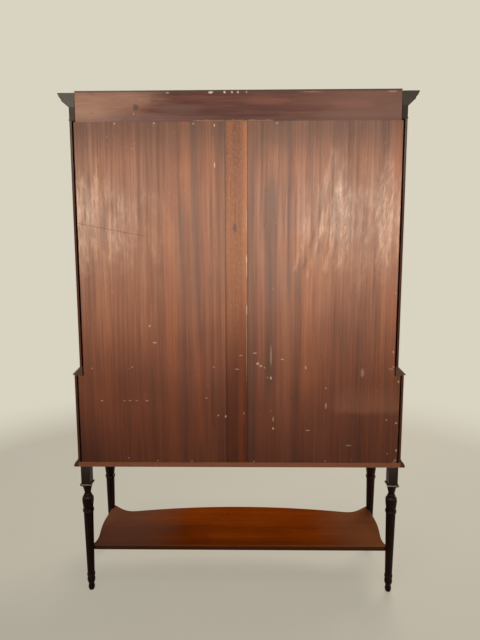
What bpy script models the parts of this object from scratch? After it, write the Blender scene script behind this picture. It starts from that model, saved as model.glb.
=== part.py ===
# Bow front display cabinet on turned legs, in metres, +Z up.
# The front faces -Y and the back is flat. The origin is on the floor under the middle of the case.
# Left and right are as seen from the front: left is -X.
# Plan positions are (x, depth), where depth runs from 0 at the back plane towards the front.
# An offset p is measured outwards from the face of the upper stage, at the sides and at the bow.
import math

import bmesh
import bpy
from mathutils import Matrix, Vector

# Clearances
GAP = 0.0003
DOOR_CLEARANCE = 0.0020
MEETING_GAP = 0.0020
SHELF_CLEARANCE = 0.0008
RAIL_END_GAP = 0.0015

# Case plan
LOWER_WIDTH = 1.190
UPPER_SETBACK = 0.021
FRONT_DEPTH = 0.389
BOW_RADIUS = 2.600

# Case heights, from the floor up
LEG_HEIGHT = 0.5064
PLANK_THICKNESS = 0.0180
BOTTOM_THICKNESS = 0.0155
CUPBOARD_HEIGHT = 0.3116
WAIST_THICKNESS = 0.0325
DISPLAY_HEIGHT = 0.8307
TOP_THICKNESS = 0.0235
FRIEZE_HEIGHT = 0.0450
CORNICE_HEIGHT = 0.0455

# Mouldings
CORNICE_PROJECTION = 0.0370
CORNICE_BACKING = 0.0195
FRIEZE_BEAD = 0.0026
FRIEZE_BEAD_HEIGHT = 0.0042
WAIST_PROJECTION = 0.0070
WAIST_LATH = 0.0050
BASE_PROJECTION = 0.0160
BASE_FILLET = 0.0090
BASE_RISE = 0.0135

# Back
PANEL_THICKNESS = 0.0080
PANEL_LIP = 0.0080
PANEL_SIDE_GAP = 0.0055
MUNTIN_WIDTH = 0.0760
MUNTIN_OFFSET = 0.0055
MUNTIN_LAP = 0.0080
BACK_RAIL_THICKNESS = 0.0190
BACK_RAIL_LAP = 0.0040
BACK_RAIL_RISE = 0.0060

# Upper sides
SIDE_THICKNESS = 0.0220
REAR_STILE_WIDTH = 0.0450
SIDE_RAIL_HEIGHT = 0.0550
POST_WIDTH = 0.0400
POST_DEPTH = 0.0340
GLASS_THICKNESS = 0.0030
GLASS_GROOVE = 0.0060

# Lower sides
LOWER_SIDE_THICKNESS = 0.0240

# Doors
DOOR_THICKNESS = 0.0220
HINGE_STILE_WIDTH = 0.0450
MEETING_STILE_WIDTH = 0.0420
TOP_RAIL_HEIGHT = 0.0480
BOTTOM_RAIL_HEIGHT = 0.0580
SIGHT_CHAMFER = 0.0040
BEAD_MARGIN = 0.0560
BEAD_WIDTH = 0.0090
BEAD_HEIGHT = 0.0034
BEAD_CHAMFER = 0.0012

# Butt hinges
LEAF_THICKNESS = 0.0009
LEAF_WIDTH = 0.0180
LEAF_SINK = 0.0002
HINGE_HEIGHT = 0.0540
KNUCKLE_RADIUS = 0.0035
KNUCKLE_BORE = 0.0020
PIN_RADIUS = 0.0016
PIN_HEAD = 0.0012
KNUCKLE_PROUD = 0.0006
UPPER_HINGE_INSET = 0.0900
LOWER_HINGE_INSET = 0.0300

# Locks and keys
LOCK_WIDTH = 0.0320
LOCK_HEIGHT = 0.0400
LOCK_WALL = 0.0015
LOCK_WOOD = 0.0090
BOLT_LENGTH = 0.0240
BOLT_HEIGHT = 0.0120
BOLT_THICKNESS = 0.0035
BOLT_THROW = 0.0070
MORTISE_SPARE = 0.0015
KEY_RADIUS = 0.0021
KEY_BIT_REACH = 0.0075
KEY_BIT_WIDTH = 0.0024
KEY_BIT_LENGTH = 0.0035
KEY_BIT_SETBACK = 0.0010
KEY_REACH = 0.0155
KEY_BOW_RADIUS = 0.0066
KEY_BOW_HOLE = 0.0040
KEY_BOW_THICKNESS = 0.0026
PLATE_HALF_WIDTH = 0.0065
PLATE_HALF_HEIGHT = 0.0130
PLATE_THICKNESS = 0.0010

# Shelves
SHELF_THICKNESS = 0.0160
SHELF_FRONT_GAP = 0.0120
SHELF_LEVELS = {"shelf_lower": 0.270, "shelf_upper": 0.545}
PEG_RADIUS = 0.0025
PEG_REACH = 0.0090
PEG_SINK = 0.0060
PEG_INSET = 0.0045

# Legs, turned below a square block
BLOCK_SIZE = 0.0340
BLOCK_HEIGHT = 0.0690
COLLAR_SIZE = 0.0435
NECK_RADIUS = 0.0116
BULB_RADIUS = 0.0216
LEG_RING_RADIUS = 0.0207
SHAFT_TOP_RADIUS = 0.0180
SHAFT_FOOT_RADIUS = 0.0136
FOOT_RING_RADIUS = 0.0152
FOOT_NECK_RADIUS = 0.0104
BALL_RADIUS = 0.0120
FOOT_PAD_RADIUS = 0.0085
REED_DEPTH = 0.0014
LEG_BACK_INSET = 0.0075
LEG_FRONT_INSET = 0.0040
LEG_SIDE_INSET = 0.0048

# Undertier
TIER_HEIGHT = 0.1766
TIER_THICKNESS = 0.0170
TIER_BACK = 0.0304
TIER_SETBACK = 0.0611
TIER_SIDE_INSET = 0.0022
TIER_EAR_INSET = 0.0060
TIER_EAR_WIDTH = 0.1125
TIER_EAR_REACH = 0.0200
TIER_HOLLOW = 0.0130
TIER_HOLLOW_FRONT = 0.2150
TIER_HOLLOW_REAR = 0.0780
TIER_FLARE_END = 0.0370

# Facets
BOW_SEGMENTS = 20
DOOR_SEGMENTS = 10
LEG_SEGMENTS = 24
SMALL_SEGMENTS = 10
SMOOTH_ANGLE = math.radians(32)

# Plan values that the pieces share
LOWER_HALF = LOWER_WIDTH / 2
UPPER_HALF = LOWER_HALF - UPPER_SETBACK
BOW_CENTRE = FRONT_DEPTH - BOW_RADIUS
HINGE_GAP = 2 * LEAF_THICKNESS + GAP
MEETING_EDGE = MEETING_GAP / 2
OVERALL_DEPTH = FRONT_DEPTH + max(CORNICE_PROJECTION, UPPER_SETBACK + BASE_PROJECTION)
BACK_Y = OVERALL_DEPTH / 2

# Levels that the pieces share
PLANK_BASE = LEG_HEIGHT + GAP
PLANK_TOP = PLANK_BASE + PLANK_THICKNESS
BOTTOM_BASE = PLANK_TOP + GAP
BOTTOM_TOP = BOTTOM_BASE + BOTTOM_THICKNESS
WAIST_BASE = BOTTOM_TOP + CUPBOARD_HEIGHT
WAIST_TOP = WAIST_BASE + WAIST_THICKNESS
TOP_BASE = WAIST_TOP + DISPLAY_HEIGHT
TOP_TOP = TOP_BASE + TOP_THICKNESS
CORNICE_BASE = TOP_TOP + GAP
CORNICE_TOP = CORNICE_BASE + FRIEZE_HEIGHT + CORNICE_HEIGHT

SIDES = {"left": -1, "right": 1}


def world(x, depth, z):
    return (x, BACK_Y - depth, z)


def front_depth(x, p=0.0):
    return BOW_CENTRE + math.sqrt((BOW_RADIUS + p) ** 2 - x ** 2)


def corner_depth(p):
    return front_depth(UPPER_HALF + p, p)


def spread(start, end, count):
    return [start + (end - start) * k / count for k in range(count + 1)]


def bow_points(start, end, p, segments):
    return [(x, front_depth(x, p)) for x in spread(start, end, segments)]


POST_REAR = corner_depth(0) - POST_DEPTH
POST_INNER = UPPER_HALF - POST_WIDTH
SIDE_INNER = UPPER_HALF - SIDE_THICKNESS
LOWER_INNER = LOWER_HALF - LOWER_SIDE_THICKNESS
BOARD_REAR = PANEL_THICKNESS + GAP
GLASS_X = UPPER_HALF - SIDE_THICKNESS / 2
GROOVE_HALF = GLASS_THICKNESS / 2 + GAP
UPPER_DOOR = (WAIST_TOP + DOOR_CLEARANCE, TOP_BASE - DOOR_CLEARANCE)
LOWER_DOOR = (BOTTOM_TOP + DOOR_CLEARANCE, WAIST_BASE - DOOR_CLEARANCE)
LEG_X = LOWER_HALF - LEG_SIDE_INSET - BLOCK_SIZE / 2
LEG_BACK = LEG_BACK_INSET + BLOCK_SIZE / 2
LEG_FRONT = corner_depth(UPPER_SETBACK) - LEG_FRONT_INSET - BLOCK_SIZE / 2


def finish(name, colour, roughness, metallic=0.0, alpha=1.0):
    material = bpy.data.materials.new(name)
    material.use_nodes = True
    shader = material.node_tree.nodes["Principled BSDF"]
    shader.inputs["Base Color"].default_value = (*colour, 1.0)
    shader.inputs["Roughness"].default_value = roughness
    shader.inputs["Metallic"].default_value = metallic
    shader.inputs["Alpha"].default_value = alpha
    return material


def finishes():
    return {
        "panel": finish("back_panel_mahogany", (0.165, 0.062, 0.036), 0.38),
        "muntin": finish("muntin_mahogany", (0.235, 0.085, 0.035), 0.42),
        "rail": finish("back_rail_mahogany", (0.150, 0.058, 0.040), 0.45),
        "end_grain": finish("case_mahogany", (0.120, 0.048, 0.028), 0.45),
        "plank": finish("base_mahogany", (0.260, 0.115, 0.060), 0.45),
        "leg": finish("leg_mahogany", (0.030, 0.010, 0.009), 0.25),
        "tier": finish("undertier_mahogany", (0.330, 0.115, 0.030), 0.22),
        "door": finish("door_mahogany", (0.130, 0.042, 0.022), 0.28),
        "shelf": finish("shelf_mahogany", (0.200, 0.080, 0.040), 0.40),
        "glass": finish("cabinet_glass", (0.92, 0.95, 0.94), 0.05, alpha=0.3),
        "brass": finish("brass", (0.560, 0.400, 0.160), 0.32, metallic=1.0),
        "steel": finish("lock_steel", (0.420, 0.410, 0.390), 0.40, metallic=1.0),
    }


def close_mesh(name, mesh, material):
    bm = bmesh.new()
    bm.from_mesh(mesh)
    bmesh.ops.recalc_face_normals(bm, faces=bm.faces)
    bm.to_mesh(mesh)
    bm.free()
    mesh.shade_smooth()
    mesh.set_sharp_from_angle(angle=SMOOTH_ANGLE)
    mesh.materials.clear()
    mesh.materials.append(material)
    piece = bpy.data.objects.new(name, mesh)
    bpy.context.scene.collection.objects.link(piece)
    return piece


def loft(name, rings, material):
    count = len(rings[0])
    faces = [list(range(count)), [(len(rings) - 1) * count + k for k in range(count)]]
    for row in range(len(rings) - 1):
        for k in range(count):
            after = (k + 1) % count
            base = row * count
            faces.append([base + k, base + after, base + count + after, base + count + k])
    mesh = bpy.data.meshes.new(name)
    mesh.from_pydata([point for ring in rings for point in ring], [], faces)
    return close_mesh(name, mesh, material)


def prism(name, outline, low, high, material):
    return loft(name, [[world(x, d, z) for x, d in outline] for z in (low, high)], material)


def block(name, xs, depths, zs, material):
    outline = [(xs[0], depths[0]), (xs[1], depths[0]), (xs[1], depths[1]), (xs[0], depths[1])]
    return prism(name, outline, zs[0], zs[1], material)


def bow_sweep(name, profile, start, end, segments, material):
    rings = []
    for t in spread(0.0, 1.0, segments):
        ring = []
        for p, z in profile:
            x = start(p) + (end(p) - start(p)) * t
            ring.append(world(x, front_depth(x, p), z))
        rings.append(ring)
    return loft(name, rings, material)


def round_bar(name, radius, start, end, segments, material):
    axis = Vector(end) - Vector(start)
    turn = axis.to_track_quat("Z", "Y").to_matrix()
    rings = []
    for base in (Vector(start), Vector(end)):
        ring = []
        for k in range(segments):
            angle = 2 * math.pi * k / segments
            ring.append(base + turn @ Vector((radius * math.cos(angle), radius * math.sin(angle), 0)))
        rings.append(ring)
    return loft(name, rings, material)


def tube(name, outer, inner, start, end, segments, material):
    bar = round_bar(name, outer, start, end, segments, material)
    reach = (Vector(end) - Vector(start)) * 0.2
    hole = round_bar(name + "_bore", inner, Vector(start) - reach, Vector(end) + reach, segments, material)
    combine(bar, "DIFFERENCE", hole)
    settle(bar)
    return bar


def combine(piece, operation, *others):
    for other in others:
        other.hide_render = True
        other.display_type = "WIRE"
        change = piece.modifiers.new(other.name, "BOOLEAN")
        change.operation = operation
        change.solver = "EXACT"
        change.object = other


def settle(piece):
    # Applies the Boolean changes of a small piece and removes the shapes that they used
    bpy.context.view_layer.update()
    others = [change.object for change in piece.modifiers]
    mesh = bpy.data.meshes.new_from_object(piece.evaluated_get(bpy.context.evaluated_depsgraph_get()))
    piece.modifiers.clear()
    piece.data = mesh
    for other in others:
        bpy.data.objects.remove(other, do_unlink=True)


def hang(pieces, pivot_name, position):
    pivot = bpy.data.objects.new(pivot_name, None)
    bpy.context.scene.collection.objects.link(pivot)
    pivot.location = position
    for piece in pieces:
        piece.parent = pivot
        piece.matrix_parent_inverse = Matrix.Translation(-Vector(position))
    return pivot


def case_outline(p, rear, segments=BOW_SEGMENTS):
    x = UPPER_HALF + p
    return [(-x, rear), (x, rear)] + bow_points(x, -x, p, segments)


def between_posts(clearance, rear, p):
    # Board outline that fits between the sides and, further forward, between the corner posts
    wide = SIDE_INNER - clearance
    narrow = POST_INNER - clearance
    step = POST_REAR - clearance
    front = bow_points(narrow, -narrow, p, BOW_SEGMENTS)
    back = [(-narrow, step), (-wide, step), (-wide, rear), (wide, rear), (wide, step), (narrow, step)]
    return back + front


def arc_profile(start, end, bulge, count):
    # Round stretch of a moulding between two profile points, hollow where bulge is negative
    middle = ((start[0] + end[0]) / 2, (start[1] + end[1]) / 2)
    across = (end[1] - start[1], start[0] - end[0])
    control = (middle[0] + across[0] * bulge, middle[1] + across[1] * bulge)
    points = []
    for t in spread(0.0, 1.0, count):
        keep = [(1 - t) ** 2, 2 * t * (1 - t), t ** 2]
        points.append(tuple(keep[0] * start[k] + keep[1] * control[k] + keep[2] * end[k] for k in (0, 1)))
    return points


def mitred_set(prefix, profile, material):
    # A moulding round three sides of the case: one length along the bow and two returns to the back
    def reach(p):
        return UPPER_HALF + p

    bow_sweep(prefix + "_front", profile, lambda p: -reach(p), reach, BOW_SEGMENTS, material)
    for side, sign in SIDES.items():
        back = [world(sign * reach(p), 0.0, z) for p, z in profile]
        mitre = [world(sign * reach(p), corner_depth(p) - 1.5 * GAP, z) for p, z in profile]
        loft("%s_%s" % (prefix, side), [back, mitre], material)


def cornice(skin):
    base = CORNICE_BASE
    frieze_top = base + FRIEZE_HEIGHT
    top = CORNICE_TOP
    mid = (0.69 * CORNICE_PROJECTION, frieze_top + 0.45 * CORNICE_HEIGHT)
    fillet_top = mid[1] + 0.13 * CORNICE_HEIGHT
    lip = top - 0.08 * CORNICE_HEIGHT
    profile = [(-CORNICE_BACKING, top), (-CORNICE_BACKING, base), (0.0, base)]
    bead = (0.3 * FRIEZE_BEAD, base), (0.3 * FRIEZE_BEAD, base + FRIEZE_BEAD_HEIGHT)
    profile += arc_profile(*bead, 0.8, 3)
    profile += [(0.0, base + FRIEZE_BEAD_HEIGHT), (0.0, frieze_top)]
    hollow = (0.05 * CORNICE_PROJECTION, frieze_top), (0.63 * CORNICE_PROJECTION, mid[1])
    profile += arc_profile(*hollow, -0.18, 4)
    profile += [mid, (mid[0], fillet_top)]
    round_edge = (0.74 * CORNICE_PROJECTION, fillet_top), (0.97 * CORNICE_PROJECTION, lip)
    profile += arc_profile(*round_edge, 0.16, 3)
    profile += [(CORNICE_PROJECTION, lip), (CORNICE_PROJECTION, top)]
    mitred_set("cornice", profile, skin["end_grain"])


def waist(skin):
    # The waist board has a sloping edge, and a thin lath lies on the slope
    slope_top = WAIST_TOP - WAIST_LATH * math.sqrt(2)
    slope_foot = slope_top - UPPER_SETBACK
    edge = ((UPPER_SETBACK, WAIST_BASE), (UPPER_SETBACK, slope_foot), (0.0, slope_top), (0.0, WAIST_TOP))
    ear = UPPER_HALF - PANEL_LIP
    rings = []
    for p, z in edge:
        x = UPPER_HALF + p
        rear = [(-x, 0.0), (-ear, 0.0), (-ear, BOARD_REAR), (ear, BOARD_REAR), (ear, 0.0), (x, 0.0)]
        outline = rear + bow_points(x, -x, p, BOW_SEGMENTS)
        rings.append([world(px, depth, z) for px, depth in outline])
    loft("waist_board", rings, skin["end_grain"])
    tip = UPPER_SETBACK + WAIST_PROJECTION
    nose = WAIST_LATH / math.sqrt(2)
    under = slope_top + GAP * math.sqrt(2)
    over = WAIST_TOP + GAP
    profile = [(GAP, over - GAP), (GAP, under - GAP)]
    low = (tip - nose, under - tip + nose)
    high = (tip - 0.3 * nose, over - tip + 0.3 * nose)
    profile += arc_profile(low, high, 0.4, 3)
    mitred_set("waist_moulding", profile, skin["end_grain"])


def base(skin):
    prism("base_plank", case_outline(UPPER_SETBACK, 0.0), PLANK_BASE, PLANK_TOP, skin["plank"])
    inner = LOWER_INNER - GAP
    outline = [(-inner, BOARD_REAR), (inner, BOARD_REAR)]
    outline += bow_points(inner, -inner, UPPER_SETBACK, BOW_SEGMENTS)
    prism("bottom_board", outline, BOTTOM_BASE, BOTTOM_TOP, skin["plank"])
    face = UPPER_SETBACK + GAP
    nose = UPPER_SETBACK + BASE_PROJECTION
    crest = PLANK_TOP + BASE_RISE
    fillet = PLANK_BASE + BASE_FILLET
    half_way = (UPPER_SETBACK + 0.48 * BASE_PROJECTION, (fillet + crest) / 2)
    profile = [(face, crest), (face, PLANK_BASE), (nose, PLANK_BASE), (nose, fillet)]
    profile += arc_profile((nose - 0.1 * BASE_PROJECTION, fillet), half_way, 0.2, 3)
    profile += arc_profile(half_way, (face + 0.06 * BASE_PROJECTION, crest), -0.2, 3)[1:]
    mitred_set("base_moulding", profile, skin["plank"])


def back(skin):
    lap_depth = PANEL_THICKNESS / 2
    muntin_half = MUNTIN_WIDTH / 2
    lap_half = muntin_half + MUNTIN_LAP
    low = BOTTOM_BASE
    high = TOP_TOP - BACK_RAIL_LAP - GAP
    step = WAIST_BASE - GAP
    upper_edge = UPPER_HALF - PANEL_LIP - PANEL_SIDE_GAP
    lower_edge = LOWER_HALF - PANEL_LIP - PANEL_SIDE_GAP
    outline = [(-muntin_half, 0.0), (muntin_half, 0.0), (muntin_half, lap_depth), (lap_half, lap_depth)]
    outline += [(lap_half, PANEL_THICKNESS), (-lap_half, PANEL_THICKNESS)]
    outline += [(-lap_half, lap_depth), (-muntin_half, lap_depth)]
    prism("back_muntin", [(x + MUNTIN_OFFSET, depth) for x, depth in outline], low, high, skin["muntin"])
    for side, sign in SIDES.items():
        near = muntin_half + GAP + sign * MUNTIN_OFFSET
        lap = near + MUNTIN_LAP
        steps = [(near, low), (lower_edge, low), (lower_edge, step), (upper_edge, step), (upper_edge, high)]
        steps.append((near, high))
        rings = [[world(sign * x, depth, z) for x, z in steps] for depth in (0.0, PANEL_THICKNESS)]
        panel = loft("back_panel_" + side, rings, skin["panel"])
        xs = sorted((sign * (near - MUNTIN_LAP), sign * lap))
        depths = (lap_depth - GAP, 2 * PANEL_THICKNESS)
        rebate = block("lap_cut_" + side, xs, depths, (low - MUNTIN_LAP, high + MUNTIN_LAP), skin["panel"])
        combine(panel, "DIFFERENCE", rebate)
    rail_half = UPPER_HALF - CORNICE_BACKING - RAIL_END_GAP
    foot = TOP_TOP - BACK_RAIL_LAP
    top = CORNICE_TOP + BACK_RAIL_RISE
    section = [(0.0, foot), (PANEL_THICKNESS, foot), (PANEL_THICKNESS, CORNICE_BASE)]
    section += [(BACK_RAIL_THICKNESS, CORNICE_BASE), (BACK_RAIL_THICKNESS, top), (0.0, top)]
    rings = [[world(x, depth, z) for depth, z in section] for x in (-rail_half, rail_half)]
    loft("back_top_rail", rings, skin["rail"])


def peg_spots():
    spots = []
    for level in SHELF_LEVELS.values():
        z = WAIST_TOP + level - GAP - PEG_RADIUS
        spots.append((SIDE_INNER, REAR_STILE_WIDTH / 2 + PEG_INSET, z))
        spots.append((POST_INNER, POST_REAR + PEG_INSET, z))
    return spots


def fix_pegs(sign, stile_piece, post_piece, skin):
    for k, (x, depth, z) in enumerate(peg_spots()):
        start = world(sign * (x - PEG_REACH), depth, z)
        end = world(sign * (x + PEG_SINK), depth, z)
        peg = round_bar("peg", PEG_RADIUS, start, end, SMALL_SEGMENTS, skin["brass"])
        combine((stile_piece, post_piece)[k % 2], "UNION", peg)


def upper_sides(skin):
    low = WAIST_TOP + GAP
    high = TOP_TOP
    groove = (GLASS_X - GROOVE_HALF, GLASS_X + GROOVE_HALF)
    stile_front = REAR_STILE_WIDTH
    posts = {}
    for side, sign in SIDES.items():
        stile = [(UPPER_HALF, 0.0), (UPPER_HALF, stile_front), (groove[1], stile_front)]
        stile += [(groove[1], stile_front - GLASS_GROOVE), (groove[0], stile_front - GLASS_GROOVE)]
        stile += [(groove[0], stile_front), (SIDE_INNER, stile_front), (SIDE_INNER, BOARD_REAR)]
        stile += [(UPPER_HALF - PANEL_LIP, BOARD_REAR), (UPPER_HALF - PANEL_LIP, 0.0)]
        rear = prism("rear_stile_" + side, [(sign * x, d) for x, d in stile], low, high, skin["end_grain"])
        post = [(POST_INNER, POST_REAR), (groove[0], POST_REAR), (groove[0], POST_REAR + GLASS_GROOVE)]
        post += [(groove[1], POST_REAR + GLASS_GROOVE), (groove[1], POST_REAR), (UPPER_HALF, POST_REAR)]
        post += bow_points(UPPER_HALF, POST_INNER, 0.0, 3)
        corner = prism("corner_post_" + side, [(sign * x, d) for x, d in post], low, high, skin["door"])
        fix_pegs(sign, rear, corner, skin)
        posts[side] = corner
        side_rails(side, sign, groove, (low, high), skin)
        pane_x = (sign * (GLASS_X - GLASS_THICKNESS / 2), sign * (GLASS_X + GLASS_THICKNESS / 2))
        pane_depth = (stile_front - GLASS_GROOVE + GAP, POST_REAR + GLASS_GROOVE - GAP)
        sink = SIDE_RAIL_HEIGHT - GLASS_GROOVE + GAP
        block("side_glass_" + side, sorted(pane_x), pane_depth, (low + sink, high - sink), skin["glass"])
    return posts


def side_rails(side, sign, groove, span, skin):
    depths = (REAR_STILE_WIDTH + GAP, POST_REAR - GAP)
    for part, outer, inward in (("bottom", span[0], 1), ("top", span[1], -1)):
        sight = outer + inward * SIDE_RAIL_HEIGHT
        sunk = sight - inward * GLASS_GROOVE
        section = [(UPPER_HALF, outer), (UPPER_HALF, sight), (groove[1], sight), (groove[1], sunk)]
        section += [(groove[0], sunk), (groove[0], sight), (SIDE_INNER, sight), (SIDE_INNER, outer)]
        rings = [[world(sign * x, depth, z) for x, z in section] for depth in depths]
        loft("side_%s_rail_%s" % (part, side), rings, skin["door"])


def lower_sides(skin):
    boards_by_side = {}
    for side, sign in SIDES.items():
        outline = [(LOWER_INNER, BOARD_REAR), (LOWER_HALF - PANEL_LIP, BOARD_REAR)]
        outline += [(LOWER_HALF - PANEL_LIP, 0.0), (LOWER_HALF, 0.0)]
        outline += bow_points(LOWER_HALF, LOWER_INNER, UPPER_SETBACK, 2)
        outline = [(sign * x, depth) for x, depth in outline]
        span = (BOTTOM_BASE, WAIST_BASE - GAP)
        boards_by_side[side] = prism("lower_side_" + side, outline, span[0], span[1], skin["door"])
    return boards_by_side


def boards(skin):
    prism("top_board", between_posts(GAP, BOARD_REAR, 0.0), TOP_BASE, TOP_TOP, skin["shelf"])
    shelf_front = -DOOR_THICKNESS - SHELF_FRONT_GAP
    for name, level in SHELF_LEVELS.items():
        outline = between_posts(SHELF_CLEARANCE, BOARD_REAR + SHELF_CLEARANCE, shelf_front)
        base_level = WAIST_TOP + level
        prism(name, outline, base_level, base_level + SHELF_THICKNESS, skin["shelf"])


def shaft_ends():
    # Heights of the foot and head of the reeded shaft
    return 0.0745, LEG_HEIGHT - BLOCK_HEIGHT - 0.1225


def shaft_radius(z):
    foot, head = shaft_ends()
    return SHAFT_FOOT_RADIUS + (SHAFT_TOP_RADIUS - SHAFT_FOOT_RADIUS) * (z - foot) / (head - foot)


def leg_sections():
    # Sections of a leg from the top down: height, half size or radius, and how square and how reeded it is
    block_foot = LEG_HEIGHT - BLOCK_HEIGHT
    foot, head = shaft_ends()
    below_block = [
        (0.0022, COLLAR_SIZE / 2, 1, 0), (0.0064, COLLAR_SIZE / 2, 1, 0),
        (0.0105, 0.86 * COLLAR_SIZE / 2, 0.7, 0),
        (0.0270, 1.24 * NECK_RADIUS, 0, 0), (0.0430, NECK_RADIUS, 0, 0), (0.0470, 1.24 * NECK_RADIUS, 0, 0),
        (0.0510, 1.28 * NECK_RADIUS, 0, 0), (0.0590, 0.92 * BULB_RADIUS, 0, 1), (0.0690, BULB_RADIUS, 0, 1),
        (0.0830, 0.94 * BULB_RADIUS, 0, 1), (0.1030, 0.82 * BULB_RADIUS, 0, 0.5),
        (0.1060, LEG_RING_RADIUS, 0, 0), (0.1163, LEG_RING_RADIUS, 0, 0),
        (0.1190, 0.98 * SHAFT_TOP_RADIUS, 0, 0),
    ]
    above_floor = [
        (0.0715, 0.94 * SHAFT_FOOT_RADIUS, 0, 0), (0.0685, FOOT_RING_RADIUS, 0, 0),
        (0.0580, FOOT_RING_RADIUS, 0, 0),
        (0.0550, 0.84 * FOOT_RING_RADIUS, 0, 0), (0.0435, 0.99 * FOOT_RING_RADIUS, 0, 0),
        (0.0330, 0.86 * FOOT_RING_RADIUS, 0, 0), (0.0250, FOOT_NECK_RADIUS, 0, 0),
        (0.0195, 0.94 * BALL_RADIUS, 0, 0), (0.0125, BALL_RADIUS, 0, 0), (0.0, FOOT_PAD_RADIUS, 0, 0),
    ]
    sections = [(LEG_HEIGHT, BLOCK_SIZE / 2, 1, 0), (block_foot, BLOCK_SIZE / 2, 1, 0)]
    sections += [(block_foot - drop, size, square, reed) for drop, size, square, reed in below_block]
    sections += [(head, shaft_radius(head), 0, 1), (foot, shaft_radius(foot), 0, 1)]
    return sections + above_floor


def leg_ring(z, size, square, reed):
    ring = []
    for k in range(LEG_SEGMENTS):
        angle = 2 * math.pi * k / LEG_SEGMENTS
        across = max(abs(math.cos(angle)), abs(math.sin(angle)))
        radius = size * (square / across + 1 - square) - REED_DEPTH * reed * (k % 2)
        ring.append((radius * math.cos(angle), radius * math.sin(angle), z))
    return ring


def legs(skin):
    mesh = None
    for row, depth in (("front", LEG_FRONT), ("back", LEG_BACK)):
        for side, sign in SIDES.items():
            name = "leg_%s_%s" % (row, side)
            if mesh is None:
                leg = loft(name, [leg_ring(*section) for section in leg_sections()], skin["leg"])
                mesh = leg.data
            else:
                leg = bpy.data.objects.new(name, mesh)
                bpy.context.scene.collection.objects.link(leg)
            leg.location = world(sign * LEG_X, depth, 0.0)


def bezier(start, first, second, end, count):
    curve = []
    for t in spread(0.0, 1.0, count):
        weights = ((1 - t) ** 3, 3 * t * (1 - t) ** 2, 3 * t ** 2 * (1 - t), t ** 3)
        corners = (start, first, second, end)
        curve.append(tuple(sum(w * corner[axis] for w, corner in zip(weights, corners)) for axis in (0, 1)))
    return curve


def undertier(skin):
    edge = LEG_X - TIER_SIDE_INSET
    bow_half = LEG_X - TIER_EAR_INSET - TIER_EAR_WIDTH
    bow_end = Vector((bow_half, front_depth(bow_half, -TIER_SETBACK)))
    tip = Vector((LEG_X - TIER_EAR_INSET, LEG_FRONT + TIER_EAR_REACH))
    slope = Vector((1.0, -bow_half / (BOW_RADIUS - TIER_SETBACK)))
    near = bow_end + slope * 0.50 * TIER_EAR_WIDTH
    far = Vector((tip.x - 0.23 * TIER_EAR_WIDTH, tip.y - 0.55 * TIER_EAR_REACH))
    ear = bezier(bow_end, near, far, tip, 8)
    # The sides run in to a hollow ahead of the back legs and flare out again to meet them
    waist = edge - TIER_HOLLOW
    run = TIER_HOLLOW_FRONT - TIER_HOLLOW_REAR
    side = bezier((edge, TIER_HOLLOW_FRONT), (edge, TIER_HOLLOW_REAR + 0.48 * run),
                  (waist, TIER_HOLLOW_REAR + 0.24 * run), (waist, TIER_HOLLOW_REAR), 8)
    flare = TIER_HOLLOW_REAR - TIER_FLARE_END
    side += bezier((waist, TIER_HOLLOW_REAR), (waist, TIER_HOLLOW_REAR - 0.55 * flare),
                   (waist + 0.30 * TIER_HOLLOW, TIER_FLARE_END + 0.23 * flare),
                   (waist + 0.76 * TIER_HOLLOW, TIER_FLARE_END), 6)[1:]
    half = ear + side + [(waist + 0.76 * TIER_HOLLOW, TIER_BACK)]
    outline = half[::-1] + bow_points(bow_half, -bow_half, -TIER_SETBACK, 16)[1:-1]
    outline += [(-x, depth) for x, depth in half]
    board = prism("undertier", outline, TIER_HEIGHT - TIER_THICKNESS, TIER_HEIGHT, skin["tier"])
    bite = (shaft_radius(TIER_HEIGHT) + GAP) / math.cos(math.pi / LEG_SEGMENTS)
    for depth in (LEG_FRONT, LEG_BACK):
        for sign in SIDES.values():
            low = world(sign * LEG_X, depth, TIER_HEIGHT - 2 * TIER_THICKNESS)
            high = world(sign * LEG_X, depth, TIER_HEIGHT + TIER_THICKNESS)
            combine(board, "DIFFERENCE", round_bar("leg_bite", bite, low, high, LEG_SEGMENTS, skin["tier"]))


def groove_edge(x, inward, p_back, p_front):
    # Edge of a door stile that takes the glass, from its back to its chamfered front
    mid = -DOOR_THICKNESS / 2
    sunk = x + inward * GLASS_GROOVE
    chamfer = inward * SIGHT_CHAMFER
    return [(x, p_back), (x, mid - GROOVE_HALF), (sunk, mid - GROOVE_HALF), (sunk, mid + GROOVE_HALF),
            (x, mid + GROOVE_HALF), (x, p_front - SIGHT_CHAMFER), (x + chamfer, p_front)]


def stile(name, sign, plain_x, glass_x, span, material):
    inward = 1 if plain_x > glass_x else -1
    edge = groove_edge(glass_x, inward, -DOOR_THICKNESS, 0.0)
    front = [(x, 0.0) for x in spread(edge[-1][0], plain_x, 2)[1:]]
    rear = [(x, -DOOR_THICKNESS) for x in spread(plain_x, glass_x, 2)[:-1]]
    outline = [(sign * x, front_depth(x, p)) for x, p in edge + front + rear]
    return prism(name, outline, span[0], span[1], material)


def rail_profile(outer, sight):
    inward = 1 if outer > sight else -1
    mid = -DOOR_THICKNESS / 2
    sunk = sight + inward * GLASS_GROOVE
    return [(-DOOR_THICKNESS, outer), (-DOOR_THICKNESS, sight), (mid - GROOVE_HALF, sight),
            (mid - GROOVE_HALF, sunk), (mid + GROOVE_HALF, sunk), (mid + GROOVE_HALF, sight),
            (-SIGHT_CHAMFER, sight), (0.0, sight + inward * SIGHT_CHAMFER), (0.0, outer)]


def straight_bow(name, sign, profile, xs, segments, material):
    return bow_sweep(name, profile, lambda p: sign * xs[0], lambda p: sign * xs[1], segments, material)


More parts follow.
